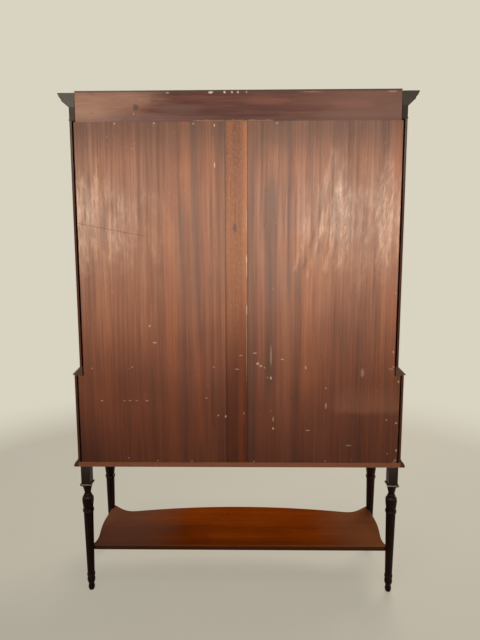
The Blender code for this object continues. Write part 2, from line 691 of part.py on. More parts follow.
def upper_door(side, sign, skin):
    prefix = "upper_%s_door_" % side
    outer = POST_INNER - HINGE_GAP
    hinge_sight = outer - HINGE_STILE_WIDTH
    meeting_sight = MEETING_EDGE + MEETING_STILE_WIDTH
    low, high = UPPER_DOOR
    pieces = {"hinge": stile(prefix + "hinge_stile", sign, outer, hinge_sight, UPPER_DOOR, skin["door"])}
    meeting = prefix + "meeting_stile"
    pieces["meeting"] = stile(meeting, sign, MEETING_EDGE, meeting_sight, UPPER_DOOR, skin["door"])
    ends = (meeting_sight + GAP, hinge_sight - GAP)
    rails = ("top", high, high - TOP_RAIL_HEIGHT), ("bottom", low, low + BOTTOM_RAIL_HEIGHT)
    for part, edge, sight in rails:
        name = "%s%s_rail" % (prefix, part)
        pieces[part] = straight_bow(name, sign, rail_profile(edge, sight), ends, DOOR_SEGMENTS, skin["door"])
    sink = GLASS_GROOVE - GAP
    pane_low = low + BOTTOM_RAIL_HEIGHT - sink
    pane_high = high - TOP_RAIL_HEIGHT + sink
    faces = [-DOOR_THICKNESS / 2 + k * GLASS_THICKNESS / 2 for k in (-1, 1)]
    pane = [(faces[0], pane_low), (faces[1], pane_low), (faces[1], pane_high), (faces[0], pane_high)]
    xs = (meeting_sight - sink, hinge_sight + sink)
    pieces["glass"] = straight_bow(prefix + "glass", sign, pane, xs, DOOR_SEGMENTS, skin["glass"])
    return pieces


def lower_door(side, sign, skin):
    low, high = LOWER_DOOR
    xs = (MEETING_EDGE, LOWER_INNER - HINGE_GAP)
    faces = (UPPER_SETBACK - DOOR_THICKNESS, UPPER_SETBACK)
    section = [(faces[0], low), (faces[1], low), (faces[1], high), (faces[0], high)]
    slab = straight_bow("lower_%s_door_panel" % side, sign, section, xs, DOOR_SEGMENTS, skin["door"])
    frames = []
    for name, inset in (("lower_%s_door_bead" % side, 0.0), ("bead_field_" + side, BEAD_WIDTH)):
        margin = BEAD_MARGIN + inset
        foot = UPPER_SETBACK + GAP - inset
        crest = UPPER_SETBACK + GAP + BEAD_HEIGHT + inset
        levels = (low + margin, high - margin)
        section = [(foot, levels[0]), (crest, levels[0]), (crest, levels[1]), (foot, levels[1])]
        ends = (xs[0] + margin, xs[1] - margin)
        frames.append(straight_bow(name, sign, section, ends, DOOR_SEGMENTS, skin["door"]))
    combine(frames[0], "DIFFERENCE", frames[1])
    soften = frames[0].modifiers.new("chamfer", "BEVEL")
    soften.width = BEAD_CHAMFER
    soften.segments = 1
    soften.limit_method = "ANGLE"
    soften.angle_limit = math.radians(50)
    return {"meeting": slab, "hinge": slab, "bead": frames[0]}


def leaf_plate(name, side, knuckles, material):
    # Plate of a hinge, with tabs to its knuckles: x towards the post and y towards the back
    start = KNUCKLE_RADIUS + GAP
    web = (KNUCKLE_RADIUS + KNUCKLE_BORE) / 2
    end = KNUCKLE_RADIUS + KNUCKLE_PROUD + LEAF_WIDTH
    edge = [(end, HINGE_HEIGHT), (end, 0.0)]
    if knuckles[0][0] > 0:
        edge.append((start, 0.0))
    for low, high in knuckles:
        if low > 0:
            edge.append((start, low))
        edge += [(web, low), (web, high)]
        if high < HINGE_HEIGHT:
            edge.append((start, high))
    if knuckles[-1][1] < HINGE_HEIGHT:
        edge.append((start, HINGE_HEIGHT))
    near = side * GAP / 2
    far = side * (GAP / 2 + LEAF_THICKNESS + LEAF_SINK)
    return loft(name, [[(x, y, z) for y, z in edge] for x in (near, far)], material)


def turned(name, levels, material):
    rings = []
    for z, radius in levels:
        angles = [2 * math.pi * k / SMALL_SEGMENTS for k in range(SMALL_SEGMENTS)]
        rings.append([(radius * math.cos(a), radius * math.sin(a), z) for a in angles])
    return loft(name, rings, material)


def case_leaf(name, sign, material):
    # Leaf fixed to the case, with its two knuckles and the pin that joins them
    third = HINGE_HEIGHT / 3
    outer = KNUCKLE_RADIUS
    levels = [(-PIN_HEAD, 0.6 * outer), (0.0, outer), (third, outer), (third, PIN_RADIUS)]
    levels += [(HINGE_HEIGHT - z, radius) for z, radius in levels[::-1]]
    barrel = turned(name + "_barrel", levels, material)
    leaf = leaf_plate(name, sign, [(0.0, third), (2 * third, HINGE_HEIGHT)], material)
    combine(leaf, "UNION", barrel)
    settle(leaf)
    return leaf


def door_leaf(name, sign, material):
    # Leaf fixed to the door, with the middle knuckle that turns on the pin
    third = HINGE_HEIGHT / 3
    span = (third + GAP, 2 * third - GAP)
    knuckle = tube(name + "_knuckle", KNUCKLE_RADIUS, KNUCKLE_BORE, (0, 0, span[0]), (0, 0, span[1]),
                   SMALL_SEGMENTS, material)
    leaf = leaf_plate(name, -sign, [span], material)
    combine(leaf, "UNION", knuckle)
    settle(leaf)
    return leaf


def hinge_axis(stage, sign):
    inner, p = (POST_INNER, 0.0) if stage == "upper" else (LOWER_INNER, UPPER_SETBACK)
    x = inner - HINGE_GAP / 2
    return sign * x, front_depth(x, p) + KNUCKLE_RADIUS + KNUCKLE_PROUD


def hinges(stage, side, door_piece, case_piece, skin):
    sign = SIDES[side]
    low, high = UPPER_DOOR if stage == "upper" else LOWER_DOOR
    inset = UPPER_HINGE_INSET if stage == "upper" else LOWER_HINGE_INSET
    x, depth = hinge_axis(stage, sign)
    for z in (low + inset, high - inset - HINGE_HEIGHT):
        for make, carrier in ((case_leaf, case_piece), (door_leaf, door_piece)):
            leaf = make("%s_%s_leaf" % (stage, side), sign, skin["brass"])
            leaf.location = world(x, depth, z)
            combine(carrier, "UNION", leaf)


def lock(stage, doors, skin):
    # A cut lock let into the back of the right door, with its bolt, key and the bolt's mortise
    p = 0.0 if stage == "upper" else UPPER_SETBACK
    span = UPPER_DOOR if stage == "upper" else LOWER_DOOR
    z = (span[0] + span[1]) / 2
    x0 = MEETING_EDGE
    x1 = x0 + LOCK_WIDTH
    key_x = x0 + LOCK_WIDTH / 2
    face = front_depth(key_x, p)
    seat = face - LOCK_WOOD
    rear = front_depth(x1, p - DOOR_THICKNESS) + GAP
    half = LOCK_HEIGHT / 2
    wall = LOCK_WALL
    frame = doors[(stage, "right")]["meeting"]
    facing = doors[(stage, "left")]["meeting"]
    pocket_xs = (x0 - LOCK_WIDTH, x1 + GAP)
    pocket_zs = (z - half - GAP, z + half + GAP)
    pocket = block(stage + "_lock_pocket", pocket_xs, (rear - LOCK_WOOD, seat), pocket_zs, skin["door"])
    combine(frame, "DIFFERENCE", pocket)
    case = block(stage + "_lock_case", (x0, x1), (rear, seat - GAP), (z - half, z + half), skin["brass"])
    hollow_zs = (z - half + wall, z + half - wall)
    hollow_xs, hollow_depths = (x0 + wall, x1 - wall), (rear + wall, face)
    hollow = block(stage + "_lock_hollow", hollow_xs, hollow_depths, hollow_zs, skin["brass"])
    bolt_depths = (rear + wall + GAP, rear + wall + GAP + BOLT_THICKNESS)
    bolt_half = BOLT_HEIGHT / 2
    slot_depths = (rear + wall, bolt_depths[1] + GAP)
    slot_zs = (z - bolt_half - GAP, z + bolt_half + GAP)
    slot = block(stage + "_bolt_slot", (x0 - wall, x0 + 2 * wall), slot_depths, slot_zs, skin["brass"])
    combine(case, "DIFFERENCE", hollow, slot)
    bolt_zs = (z - bolt_half, z + bolt_half)
    bolt = block(stage + "_lock_bolt", (x0, x0 + BOLT_LENGTH), bolt_depths, bolt_zs, skin["steel"])
    mortise_xs = (-x0 - BOLT_THROW - MORTISE_SPARE + MEETING_GAP, BOLT_THROW)
    mortise_depths = (bolt_depths[0] - 2 * GAP, bolt_depths[1] + 2 * GAP)
    mortise_zs = (slot_zs[0] - GAP, slot_zs[1] + GAP)
    mortise = block(stage + "_mortise", mortise_xs, mortise_depths, mortise_zs, skin["door"])
    combine(facing, "DIFFERENCE", mortise)
    key, keyhole = key_pieces(stage, key_x, face, seat, z, skin)
    rings = []
    for depth in (face + GAP, face + GAP + PLATE_THICKNESS):
        angles = [2 * math.pi * k / LEG_SEGMENTS for k in range(LEG_SEGMENTS)]
        ring = [(PLATE_HALF_WIDTH * math.cos(a), PLATE_HALF_HEIGHT * math.sin(a)) for a in angles]
        rings.append([world(key_x + x, depth, z - KEY_BIT_REACH / 2 + rise) for x, rise in ring])
    plate = loft(stage + "_escutcheon", rings, skin["brass"])
    combine(frame, "DIFFERENCE", *keyhole)
    combine(plate, "DIFFERENCE", *keyhole)
    bolt_pivot = hang([bolt], stage + "_bolt_slide", world(x0, bolt_depths[0], z))
    key_pivot = hang([key], stage + "_key_pivot", world(key_x, face, z))
    doors[(stage, "right")]["lock"] = case
    doors[(stage, "right")]["plate"] = plate
    return bolt_pivot, key_pivot


def key_pieces(stage, x, face, seat, z, skin):
    bit_front = seat - GAP - KEY_BIT_SETBACK
    bit_rear = bit_front - KEY_BIT_LENGTH
    bow_centre = face + KEY_REACH - KEY_BOW_RADIUS
    shank_end = bow_centre - (KEY_BOW_RADIUS + KEY_BOW_HOLE) / 2
    name = stage + "_key"
    shank = world(x, bit_rear, z), world(x, shank_end, z)
    key = round_bar(name, KEY_RADIUS, *shank, SMALL_SEGMENTS, skin["steel"])
    half = KEY_BIT_WIDTH / 2
    bit_xs, bit_depths, bit_zs = (x - half, x + half), (bit_rear, bit_front), (z - KEY_BIT_REACH, z)
    bit = block(name + "_bit", bit_xs, bit_depths, bit_zs, skin["steel"])
    bow_half = KEY_BOW_THICKNESS / 2
    bow = tube(name + "_bow", KEY_BOW_RADIUS, KEY_BOW_HOLE, world(x - bow_half, bow_centre, z),
               world(x + bow_half, bow_centre, z), 2 * SMALL_SEGMENTS, skin["steel"])
    combine(key, "UNION", bit, bow)
    settle(key)
    ends = (world(x, seat - LOCK_WOOD, z), world(x, face + LOCK_WOOD, z))
    hole_radius = (KEY_RADIUS + GAP) / math.cos(math.pi / SMALL_SEGMENTS)
    hole = round_bar(name + "_hole", hole_radius, ends[0], ends[1], SMALL_SEGMENTS, skin["door"])
    slot_xs = (x - half - GAP, x + half + GAP)
    slot_zs = (z - KEY_BIT_REACH - GAP, z)
    slot = block(name + "_slot", slot_xs, (seat - LOCK_WOOD, face + LOCK_WOOD), slot_zs, skin["door"])
    return key, (hole, slot)


def main():
    for piece in list(bpy.data.objects):
        bpy.data.objects.remove(piece, do_unlink=True)
    skin = finishes()
    cornice(skin)
    back(skin)
    carriers = {("upper", side): post for side, post in upper_sides(skin).items()}
    boards(skin)
    waist(skin)
    carriers.update({("lower", side): board for side, board in lower_sides(skin).items()})
    base(skin)
    legs(skin)
    undertier(skin)
    doors = {}
    for side, sign in SIDES.items():
        doors[("upper", side)] = upper_door(side, sign, skin)
        doors[("lower", side)] = lower_door(side, sign, skin)
    for (stage, side), pieces in doors.items():
        hinges(stage, side, pieces["hinge"], carriers[(stage, side)], skin)
    locks = {stage: lock(stage, doors, skin) for stage in ("upper", "lower")}
    pivots = {}
    for (stage, side), pieces in doors.items():
        x, depth = hinge_axis(stage, SIDES[side])
        position = world(x, depth, 0.0)
        pivots[(stage, side)] = hang(pieces.values(), "%s_%s_door_pivot" % (stage, side), position)
    for stage, moving in locks.items():
        door_pivot = pivots[(stage, "right")]
        for pivot in moving:
            pivot.parent = door_pivot
            pivot.matrix_parent_inverse = Matrix.Translation(-door_pivot.location)


main()
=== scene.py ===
import math

import bpy
from mathutils import Euler, Matrix, Vector


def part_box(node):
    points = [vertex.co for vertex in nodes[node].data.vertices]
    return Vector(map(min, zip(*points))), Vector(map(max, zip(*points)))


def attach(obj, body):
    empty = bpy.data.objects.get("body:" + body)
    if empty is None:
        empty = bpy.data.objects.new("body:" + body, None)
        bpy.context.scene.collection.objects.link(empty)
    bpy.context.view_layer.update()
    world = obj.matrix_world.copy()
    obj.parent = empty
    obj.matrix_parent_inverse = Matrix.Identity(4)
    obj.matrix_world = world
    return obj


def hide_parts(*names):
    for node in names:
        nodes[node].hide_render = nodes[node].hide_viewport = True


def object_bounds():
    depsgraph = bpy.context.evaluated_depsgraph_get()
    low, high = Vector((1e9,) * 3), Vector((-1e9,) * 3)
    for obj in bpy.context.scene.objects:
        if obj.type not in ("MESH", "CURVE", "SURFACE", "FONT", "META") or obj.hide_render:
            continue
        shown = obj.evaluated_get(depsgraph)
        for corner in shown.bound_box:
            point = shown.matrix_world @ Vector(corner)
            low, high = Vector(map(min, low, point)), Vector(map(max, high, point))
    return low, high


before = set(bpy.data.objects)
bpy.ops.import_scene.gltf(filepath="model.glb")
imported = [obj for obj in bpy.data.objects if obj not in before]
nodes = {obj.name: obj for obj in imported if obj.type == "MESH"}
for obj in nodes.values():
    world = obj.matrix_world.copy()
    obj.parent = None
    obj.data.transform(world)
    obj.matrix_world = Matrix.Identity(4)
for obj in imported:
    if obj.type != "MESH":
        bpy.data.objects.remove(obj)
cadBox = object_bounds()
scene = bpy.context.scene
bpy.ops.object.select_all(action="DESELECT")
print("frame loaded with", len(nodes), "nodes")


class Wire:
    tree = None  # node tree of the material in hand

    def __init__(self, socket):
        self.socket = socket

    @staticmethod
    def node(kind, settings=None, inputs=None, out=0):
        made = Wire.tree.nodes.new(kind)
        for key, value in (settings or {}).items():
            if key == "stops":
                Wire.setStops(made.color_ramp, value)
            else:
                setattr(made, key, value)
        for key, value in (inputs or {}).items():
            Wire.plug(made.inputs[key], value)
        return Wire(made.outputs[out])

    @staticmethod
    def plug(socket, value):
        if isinstance(value, Wire):
            Wire.tree.links.new(value.socket, socket)
        else:
            socket.default_value = value

    @staticmethod
    def setStops(ramp, stops):
        while len(ramp.elements) < len(stops):
            ramp.elements.new(1.0)
        for element, (place, colour) in zip(ramp.elements, stops):
            element.position = place
            element.color = colour

    @staticmethod
    def maths(operation, *terms):
        return Wire.node("ShaderNodeMath", {"operation": operation}, dict(enumerate(terms)))

    def __add__(self, other):
        return Wire.maths("ADD", self, other)

    def __radd__(self, other):
        return Wire.maths("ADD", other, self)

    def __sub__(self, other):
        return Wire.maths("SUBTRACT", self, other)

    def __rsub__(self, other):
        return Wire.maths("SUBTRACT", other, self)

    def __mul__(self, other):
        return Wire.maths("MULTIPLY", self, other)

    def __rmul__(self, other):
        return Wire.maths("MULTIPLY", other, self)

    def __abs__(self):
        return Wire.maths("ABSOLUTE", self)

    def __lt__(self, other):
        return Wire.maths("LESS_THAN", self, other)

    def __gt__(self, other):
        return Wire.maths("GREATER_THAN", self, other)

    def __or__(self, other):
        return Wire.maths("MAXIMUM", self, other)  # the stronger of two masks

    def __ror__(self, other):
        return Wire.maths("MAXIMUM", other, self)


def tint(red, green, blue):
    shares = [value / 255 for value in (red, green, blue)]
    linear = [s / 12.92 if s <= 0.04045 else ((s + 0.055) / 1.055) ** 2.4 for s in shares]
    return (*linear, 1.0)


def startFinish(name):
    finish = bpy.data.materials.new(name)
    finish.use_nodes = True
    Wire.tree = finish.node_tree
    shader = finish.node_tree.nodes["Principled BSDF"]
    return finish, shader


def plugAll(node, values):
    for key, value in values.items():
        Wire.plug(node.inputs[key], value)


def objectPlace():
    return Wire.node("ShaderNodeTexCoord", {}, {}, "Object")


def axes(place):
    split = Wire.node("ShaderNodeSeparateXYZ", {}, {"Vector": place}).socket.node
    return [Wire(socket) for socket in split.outputs]


def noise(place, scale, detail=2.0, rough=0.5):
    settings = {"Vector": place, "Scale": scale, "Detail": detail, "Roughness": rough}
    return Wire.node("ShaderNodeTexNoise", {}, settings)


def swing(value, amount):
    return (value - 0.5) * amount  # noise to both sides of nothing


def fade(value, start, full):
    span = {"Value": value, "From Min": start, "From Max": full}
    return Wire.node("ShaderNodeMapRange", {"interpolation_type": "SMOOTHSTEP"}, span)


def between(value, low, high, soft):
    return fade(value, low - soft, low) * fade(value, high + soft, high)


def band(value, half):
    return fade(abs(value), half * 1.5, half * 0.1)


def within(value, low, high):
    return Wire.maths("COMPARE", value, (low + high) / 2, (high - low) / 2)


def mix(share, first, second, way="MIX"):
    settings = {"data_type": "RGBA", "blend_type": way}
    return Wire.node("ShaderNodeMix", settings, {0: share, 6: first, 7: second}, 2)


def bump(height, strength, depth):
    return Wire.node("ShaderNodeBump", {}, {"Strength": strength, "Distance": depth, "Height": height})


def drawn(place, axis, share):
    sizes = [1.0, 1.0, 1.0]
    sizes["xyz".index(axis)] = share  # long along the grain
    return Wire.node("ShaderNodeMapping", {}, {"Vector": place, "Scale": sizes})


def distance(place):
    return Wire.node("ShaderNodeVectorMath", {"operation": "LENGTH"}, {0: place}, 1)


def spots(place, marks, wobble):
    flat = Wire.node("ShaderNodeVectorMath", {"operation": "MULTIPLY"}, {0: place, 1: (1.0, 0.0, 1.0)})
    total = 0.0
    for x, z, wide, tall, strength in marks:
        settings = {"Vector": flat, "Location": (x, 0.0, z), "Scale": (wide, 1.0, tall)}
        near = Wire.node("ShaderNodeMapping", {"vector_type": "TEXTURE"}, settings)
        total = total | fade(distance(near) + wobble, 1.0, 0.45) * strength
    return total


# what all the woods share
grainLook = {
    "wander": 3.2, "wanderLength": 0.3, "lineLength": 0.02, "clouds": 2.6,
    "pores": 620.0, "poreLength": 0.05, "poreCut": (0.58, 0.72), "poreRough": 0.1,
    "reliefDepth": 0.0004, "coatRough": 0.25,
}
darkMark = tint(40, 20, 14)
paleMark = tint(204, 178, 154)


class Timber:
    # grain colour, roughness and relief of one wood, before its marks
    def __init__(self, name, tone):
        look = grainLook
        self.finish, self.shader = startFinish(name)
        self.tone = tone
        self.place = objectPlace()
        self.x, self.y, self.z = axes(self.place)
        axis = tone["grain"]
        wander = self.figure(look["wanderLength"], look["wander"]) - 0.5
        shift = {0: wander, 1: (tone["wander"],) * 3, 2: self.place}
        bent = Wire.node("ShaderNodeVectorMath", {"operation": "MULTIPLY_ADD"}, shift)
        bands = noise(drawn(bent, axis, tone["bandLength"]), tone["bands"], 3.0, 0.6)
        lines = noise(drawn(bent, axis, look["lineLength"]), tone["lines"], 4.0, 0.65)
        pores = noise(drawn(bent, axis, look["poreLength"]), look["pores"], 2.0, 0.6)
        pores = fade(pores, *look["poreCut"])
        cloud = noise(self.place, look["clouds"], 3.0, 0.55)
        shade = swing(bands, tone["bandShare"]) + swing(lines, tone["lineShare"])
        shade = shade + swing(cloud, tone["cloudShare"]) + 0.5
        stops = [(0.2, tone["dark"]), (0.5, tone["mid"]), (0.8, tone["light"])]
        ramp = Wire.node("ShaderNodeValToRGB", {"stops": stops}, {"Fac": shade})
        self.colour = mix(pores * tone["poreShare"], ramp, tone["pore"])
        self.rough = tone["rough"] + swing(lines, tone["roughLines"]) + swing(cloud, tone["roughCloud"])
        self.rough = self.rough + pores * look["poreRough"]
        self.height = lines * 0.6 - pores
        self.metal = 0.0
        self.coat = tone["coat"]

    def figure(self, length, scale, detail=2.0, rough=0.5):
        return noise(drawn(self.place, self.tone["grain"], length), scale, detail, rough)

    def stain(self, share, colour, way="MIX"):
        self.colour = mix(share, self.colour, colour, way)

    def wash(self, washes, way="MIX"):
        for reach, share, colour in washes:  # reach: where it starts and where it is full, on each axis
            for axis, (start, full) in reach.items():
                share = fade(getattr(self, axis), start, full) * share
            self.stain(share, colour, way)

    def seam(self, x, half, core, share):
        self.stain(fade(abs(self.x - x), half, core) * share, darkMark)  # dark line of a joint

    def done(self):
        plugAll(self.shader, {
            "Base Color": self.colour, "Roughness": self.rough, "Metallic": self.metal,
            "Coat Weight": self.coat, "Coat Roughness": grainLook["coatRough"],
            "Specular IOR Level": self.tone["gloss"],
            "Normal": bump(self.height, self.tone["relief"], grainLook["reliefDepth"]),
        })
        return self.finish


# back boards: stained mahogany, dull on the back, grain upright
backTone = {
    "grain": "z", "wander": 0.02, "bands": 17.0, "bandLength": 0.03, "lines": 120.0,
    "bandShare": 0.66, "lineShare": 0.8, "cloudShare": 0.55, "poreShare": 0.35,
    "dark": tint(98, 52, 31), "mid": tint(142, 83, 52), "light": tint(176, 112, 73),
    "pore": tint(64, 32, 20),
    "rough": 0.42, "roughCloud": 0.2, "roughLines": -0.35, "relief": 0.2, "gloss": 0.56, "coat": 0.0,
}
streakTones = {
    "dark": tint(70, 38, 28), "grey": tint(84, 58, 48), "brown": tint(104, 60, 42),
    "red": tint(144, 84, 70), "amber": tint(172, 98, 58), "pale": tint(168, 114, 90),
    # the palest tone paints glints on the polish
    "paintedGlint": tint(216, 162, 128),
}
nailSize = 0.0034
nailMarks = [
    (x, z, nailSize, nailSize, 0.62) for x, z in (
        (0.420, 1.729), (0.285, 1.729), (0.151, 1.727), (-0.133, 1.727), (0.530, 0.879), (0.384, 0.884),
        (0.089, 0.884), (-0.067, 0.895), (-0.542, 0.878), (0.406, 0.541), (0.299, 0.531), (0.173, 0.530),
        (-0.056, 0.529), (-0.318, 0.531), (-0.569, 0.527))
]
rightBoard = {
    "marks": [  # middle, half width, half height and strength
        (0.079, 1.721, 0.003, 0.006, 0.9), (0.080, 1.590, 0.0026, 0.012, 0.9),
        (0.498, 0.759, 0.006, 0.003, 0.7), (0.416, 0.759, 0.005, 0.002, 0.7),
        (0.396, 0.759, 0.009, 0.0018, 0.6), (0.371, 0.759, 0.006, 0.002, 0.6),
        (0.333, 0.759, 0.007, 0.0024, 0.8), (0.317, 1.033, 0.004, 0.005, 0.8),
        (0.300, 0.973, 0.009, 0.003, 0.8), (0.074, 0.704, 0.003, 0.005, 0.8),
        (0.047, 0.700, 0.004, 0.006, 1.0), (0.116, 0.769, 0.003, 0.004, 0.6)],
    "scuffAndSheenSpots": [(0.53, 1.47, 0.08, 0.26, 1.0), (0.46, 1.40, 0.12, 0.20, 0.8), (0.34, 1.36, 0.16, 0.18, 0.4)],
    "lean": 0.02,  # slant of the dashes of scuffs and painted sheen
    "streaks": [  # middle, half width, share, colour, lowest and highest point
        (0.240, 0.021, 0.40, "amber", 0.5, 1.34), (0.197, 0.015, 0.42, "grey", 0.5, 1.42),
        (0.148, 0.021, 0.52, "grey", 1.14, 1.8), (0.153, 0.014, 0.16, "pale", 0.8, 1.1),
        (0.110, 0.012, 0.25, "red", 0.5, 1.8), (0.090, 0.005, 0.42, "dark", 0.74, 1.48),
        (0.065, 0.017, 0.26, "grey", 0.5, 1.8), (0.234, 0.011, 0.2, "pale", 1.36, 1.66),
        (0.290, 0.025, 0.14, "dark", 0.5, 1.8), (0.340, 0.024, 0.16, "dark", 1.36, 1.7),
        (0.136, 0.010, 0.4, "amber", 0.66, 0.86), (0.205, 0.007, 0.25, "dark", 1.3, 1.62)],
    "strokes": [  # place at strokeLevel, lean, half width, share, colour, lowest and highest point
        (0.553, 0.02, 0.010, 0.55, "paintedGlint", 1.34, 1.53),
        (0.535, 0.02, 0.012, 0.36, "paintedGlint", 1.28, 1.44),
        (0.500, 0.02, 0.014, 0.46, "paintedGlint", 1.32, 1.54),
        (0.470, 0.04, 0.006, 0.45, "brown", 1.32, 1.50), (0.520, 0.03, 0.006, 0.40, "brown", 1.42, 1.58),
        (0.490, 0.02, 0.007, 0.28, "paintedGlint", 1.46, 1.60),
        (0.448, 0.03, 0.010, 0.26, "paintedGlint", 1.28, 1.42),
        (0.340, 0.02, 0.008, 0.30, "brown", 1.38, 1.50)],
    "seam": (0.0445, 0.0024, 0.00072),  # place, half width and dark core
}
leftBoard = {
    "marks": [
        (-0.117, 0.925, 0.0026, 0.048, 0.5), (-0.117, 0.843, 0.0036, 0.007, 1.0),
        (-0.070, 0.897, 0.006, 0.004, 1.0), (-0.081, 0.888, 0.005, 0.004, 0.9),
        (-0.094, 0.882, 0.003, 0.003, 0.8), (-0.060, 0.935, 0.010, 0.003, 0.6),
        (-0.158, 0.912, 0.006, 0.003, 0.8), (-0.242, 0.882, 0.004, 0.008, 0.6),
        (-0.316, 0.806, 0.003, 0.004, 0.8), (-0.317, 0.740, 0.003, 0.015, 0.7),
        (-0.126, 0.690, 0.0022, 0.012, 0.7), (-0.126, 0.655, 0.0045, 0.006, 0.9),
        (-0.252, 0.648, 0.010, 0.002, 0.7), (-0.446, 0.862, 0.008, 0.020, 0.3),
        (-0.403, 0.591, 0.014, 0.004, 0.35), (-0.538, 0.688, 0.004, 0.003, 0.8),
        (-0.576, 0.830, 0.004, 0.005, 0.9), (-0.554, 0.939, 0.003, 0.006, 0.9),
        (-0.556, 0.885, 0.003, 0.004, 0.8), (-0.553, 1.15, 0.002, 0.004, 0.7),
        (-0.551, 0.876, 0.005, 0.003, 0.7), (-0.573, 0.676, 0.005, 0.004, 0.9),
        (-0.577, 0.573, 0.004, 0.006, 0.8), (-0.574, 0.535, 0.006, 0.003, 0.8),
        (-0.545, 0.560, 0.003, 0.003, 0.6), (-0.356, 1.437, 0.007, 0.007, 0.75),
        (-0.105, 0.846, 0.003, 0.004, 0.5), (-0.117, 0.722, 0.003, 0.003, 0.5)],
    "scuffAndSheenSpots": [
        (-0.33, 1.42, 0.12, 0.22, 1.0), (-0.525, 1.42, 0.07, 0.25, 1.0),
        (-0.43, 1.38, 0.16, 0.22, 0.65)],
    "lean": 0.13,
    "streaks": [
        (-0.050, 0.018, 0.42, "grey", 0.5, 1.55), (-0.079, 0.011, 0.36, "red", 0.5, 1.3),
        (-0.086, 0.011, 0.3, "dark", 1.4, 1.8), (-0.113, 0.023, 0.58, "grey", 0.84, 1.48),
        (-0.150, 0.014, 0.22, "pale", 1.2, 1.7), (-0.168, 0.026, 0.3, "pale", 0.5, 1.16),
        (-0.177, 0.008, 0.42, "dark", 1.2, 1.8), (-0.212, 0.014, 0.46, "dark", 0.8, 1.2),
        (-0.223, 0.012, 0.24, "pale", 1.4, 1.72), (-0.250, 0.014, 0.26, "dark", 1.56, 1.8),
        (-0.243, 0.013, 0.34, "amber", 0.82, 1.16), (-0.250, 0.05, 0.22, "dark", 0.5, 0.72),
        (-0.305, 0.02, 0.16, "dark", 0.7, 1.1), (-0.550, 0.018, 0.32, "amber", 0.86, 1.78),
        (-0.545, 0.022, 0.45, "amber", 1.6, 1.8)],
    "strokes": [
        (-0.277, 0.30, 0.006, 0.60, "brown", 1.25, 1.52),
        (-0.319, 0.31, 0.006, 0.55, "brown", 1.30, 1.48),
        (-0.395, 0.12, 0.006, 0.45, "brown", 1.28, 1.38),
        (-0.440, 0.15, 0.006, 0.40, "brown", 1.28, 1.36),
        (-0.526, 0.02, 0.010, 0.42, "paintedGlint", 1.26, 1.42),
        (-0.500, 0.02, 0.010, 0.30, "paintedGlint", 1.28, 1.37),
        (-0.555, 0.04, 0.008, 0.34, "paintedGlint", 1.40, 1.54),
        (-0.345, 0.25, 0.012, 0.32, "paintedGlint", 1.24, 1.46),
        (-0.300, 0.30, 0.008, 0.34, "paintedGlint", 1.22, 1.46),
        (-0.250, 0.30, 0.010, 0.26, "paintedGlint", 1.24, 1.36)],
    "seam": (-0.0335, 0.0034, 0.00102),
}
# painted shade: darker towards the bottom, where less light falls
paintedShadeBelow = [
    ({"z": (1.1, 0.55)}, 0.6, tint(204, 190, 184)), ({"z": (1.30, 0.68)}, 0.6, tint(200, 160, 140))]
panelLook = {
    "sway": 0.02, "fray": 0.012,  # how far streaks wander, and their ragged edges
    "streakEnds": 0.14, "strokeEnds": 0.03, "strokeLevel": 1.4,
    # colour of the scuffs and painted sheen
    "scuffAndSheenColour": tint(214, 164, 128), "specks": tint(176, 140, 116),
    # painted shade: darker low down at both sides and along the top
    "paintedShade": [
        ({"z": (0.86, 0.5), "x": (0.15, -0.1)}, 0.5, tint(206, 190, 180)),
        ({"z": (0.8, 0.5), "x": (0.38, 0.58)}, 0.7, tint(160, 140, 130)),
        ({"z": (1.56, 1.73)}, 1.0, tint(198, 194, 194))],
}


def backPanel(name, board):
    look = panelLook
    wood = Timber(name, backTone)
    fray = swing(wood.figure(0.04, 55.0, 3.0), look["fray"])
    across = wood.x + swing(wood.figure(0.6, 3.0), look["sway"]) + fray
    depth = 0.6 + wood.figure(0.5, 5.0) * 0.8
    for x, half, share, shade, low, high in board["streaks"]:
        length = between(wood.z, low, high, look["streakEnds"])
        wood.stain(band(across - x, half) * length * depth * share, streakTones[shade])
    broken = fade(wood.figure(0.2, 90.0, 3.0, 0.65), 0.36, 0.58)
    # strokes: dark smears, and pale ones that are painted glints
    for x, lean, half, share, shade, low, high in board["strokes"]:
        near = band(wood.x + fray - x + (wood.z - look["strokeLevel"]) * lean, half)
        length = between(wood.z, low, high, look["strokeEnds"])
        wood.stain(near * length * broken * share, streakTones[shade])
    # partly scuffs, partly painted sheen and glints: pale dashes and patches, dark smears between them
    tilt = Wire.node("ShaderNodeCombineXYZ", {}, {"X": wood.z * board["lean"]})
    leaning = Wire.node("ShaderNodeVectorMath", {"operation": "ADD"}, {0: wood.place, 1: tilt})
    dashes = fade(noise(drawn(leaning, "z", 0.15), 210.0, 3.0, 0.7), 0.46, 0.62)
    patches = fade(noise(drawn(leaning, "z", 0.3), 26.0, 3.0, 0.6), 0.38, 0.64)
    scuffAndSheen = spots(wood.place, board["scuffAndSheenSpots"], swing(noise(drawn(leaning, "z", 0.5), 9.0, 4.0, 0.6), 1.9))
    wood.stain(scuffAndSheen * (0.1 + patches * (0.06 + dashes * 0.38)), look["scuffAndSheenColour"])
    wood.stain(scuffAndSheen * (1 - patches) * (0.05 + dashes * 0.17), darkMark)
    # painted shade laid over the grain: darker below, at the lower sides and along the top
    wood.wash(paintedShadeBelow + look["paintedShade"], "MULTIPLY")
    wood.seam(*board["seam"], 0.75)
    pale = spots(wood.place, nailMarks + board["marks"], swing(noise(wood.place, 240.0), 0.9))
    wood.stain(pale, paleMark)
    wood.stain(fade(noise(wood.place, 95.0, 1.0), 0.77, 0.80) * 0.4, look["specks"])
    wood.rough = wood.rough - scuffAndSheen * patches * 0.08 + pale * 0.2
    return wood


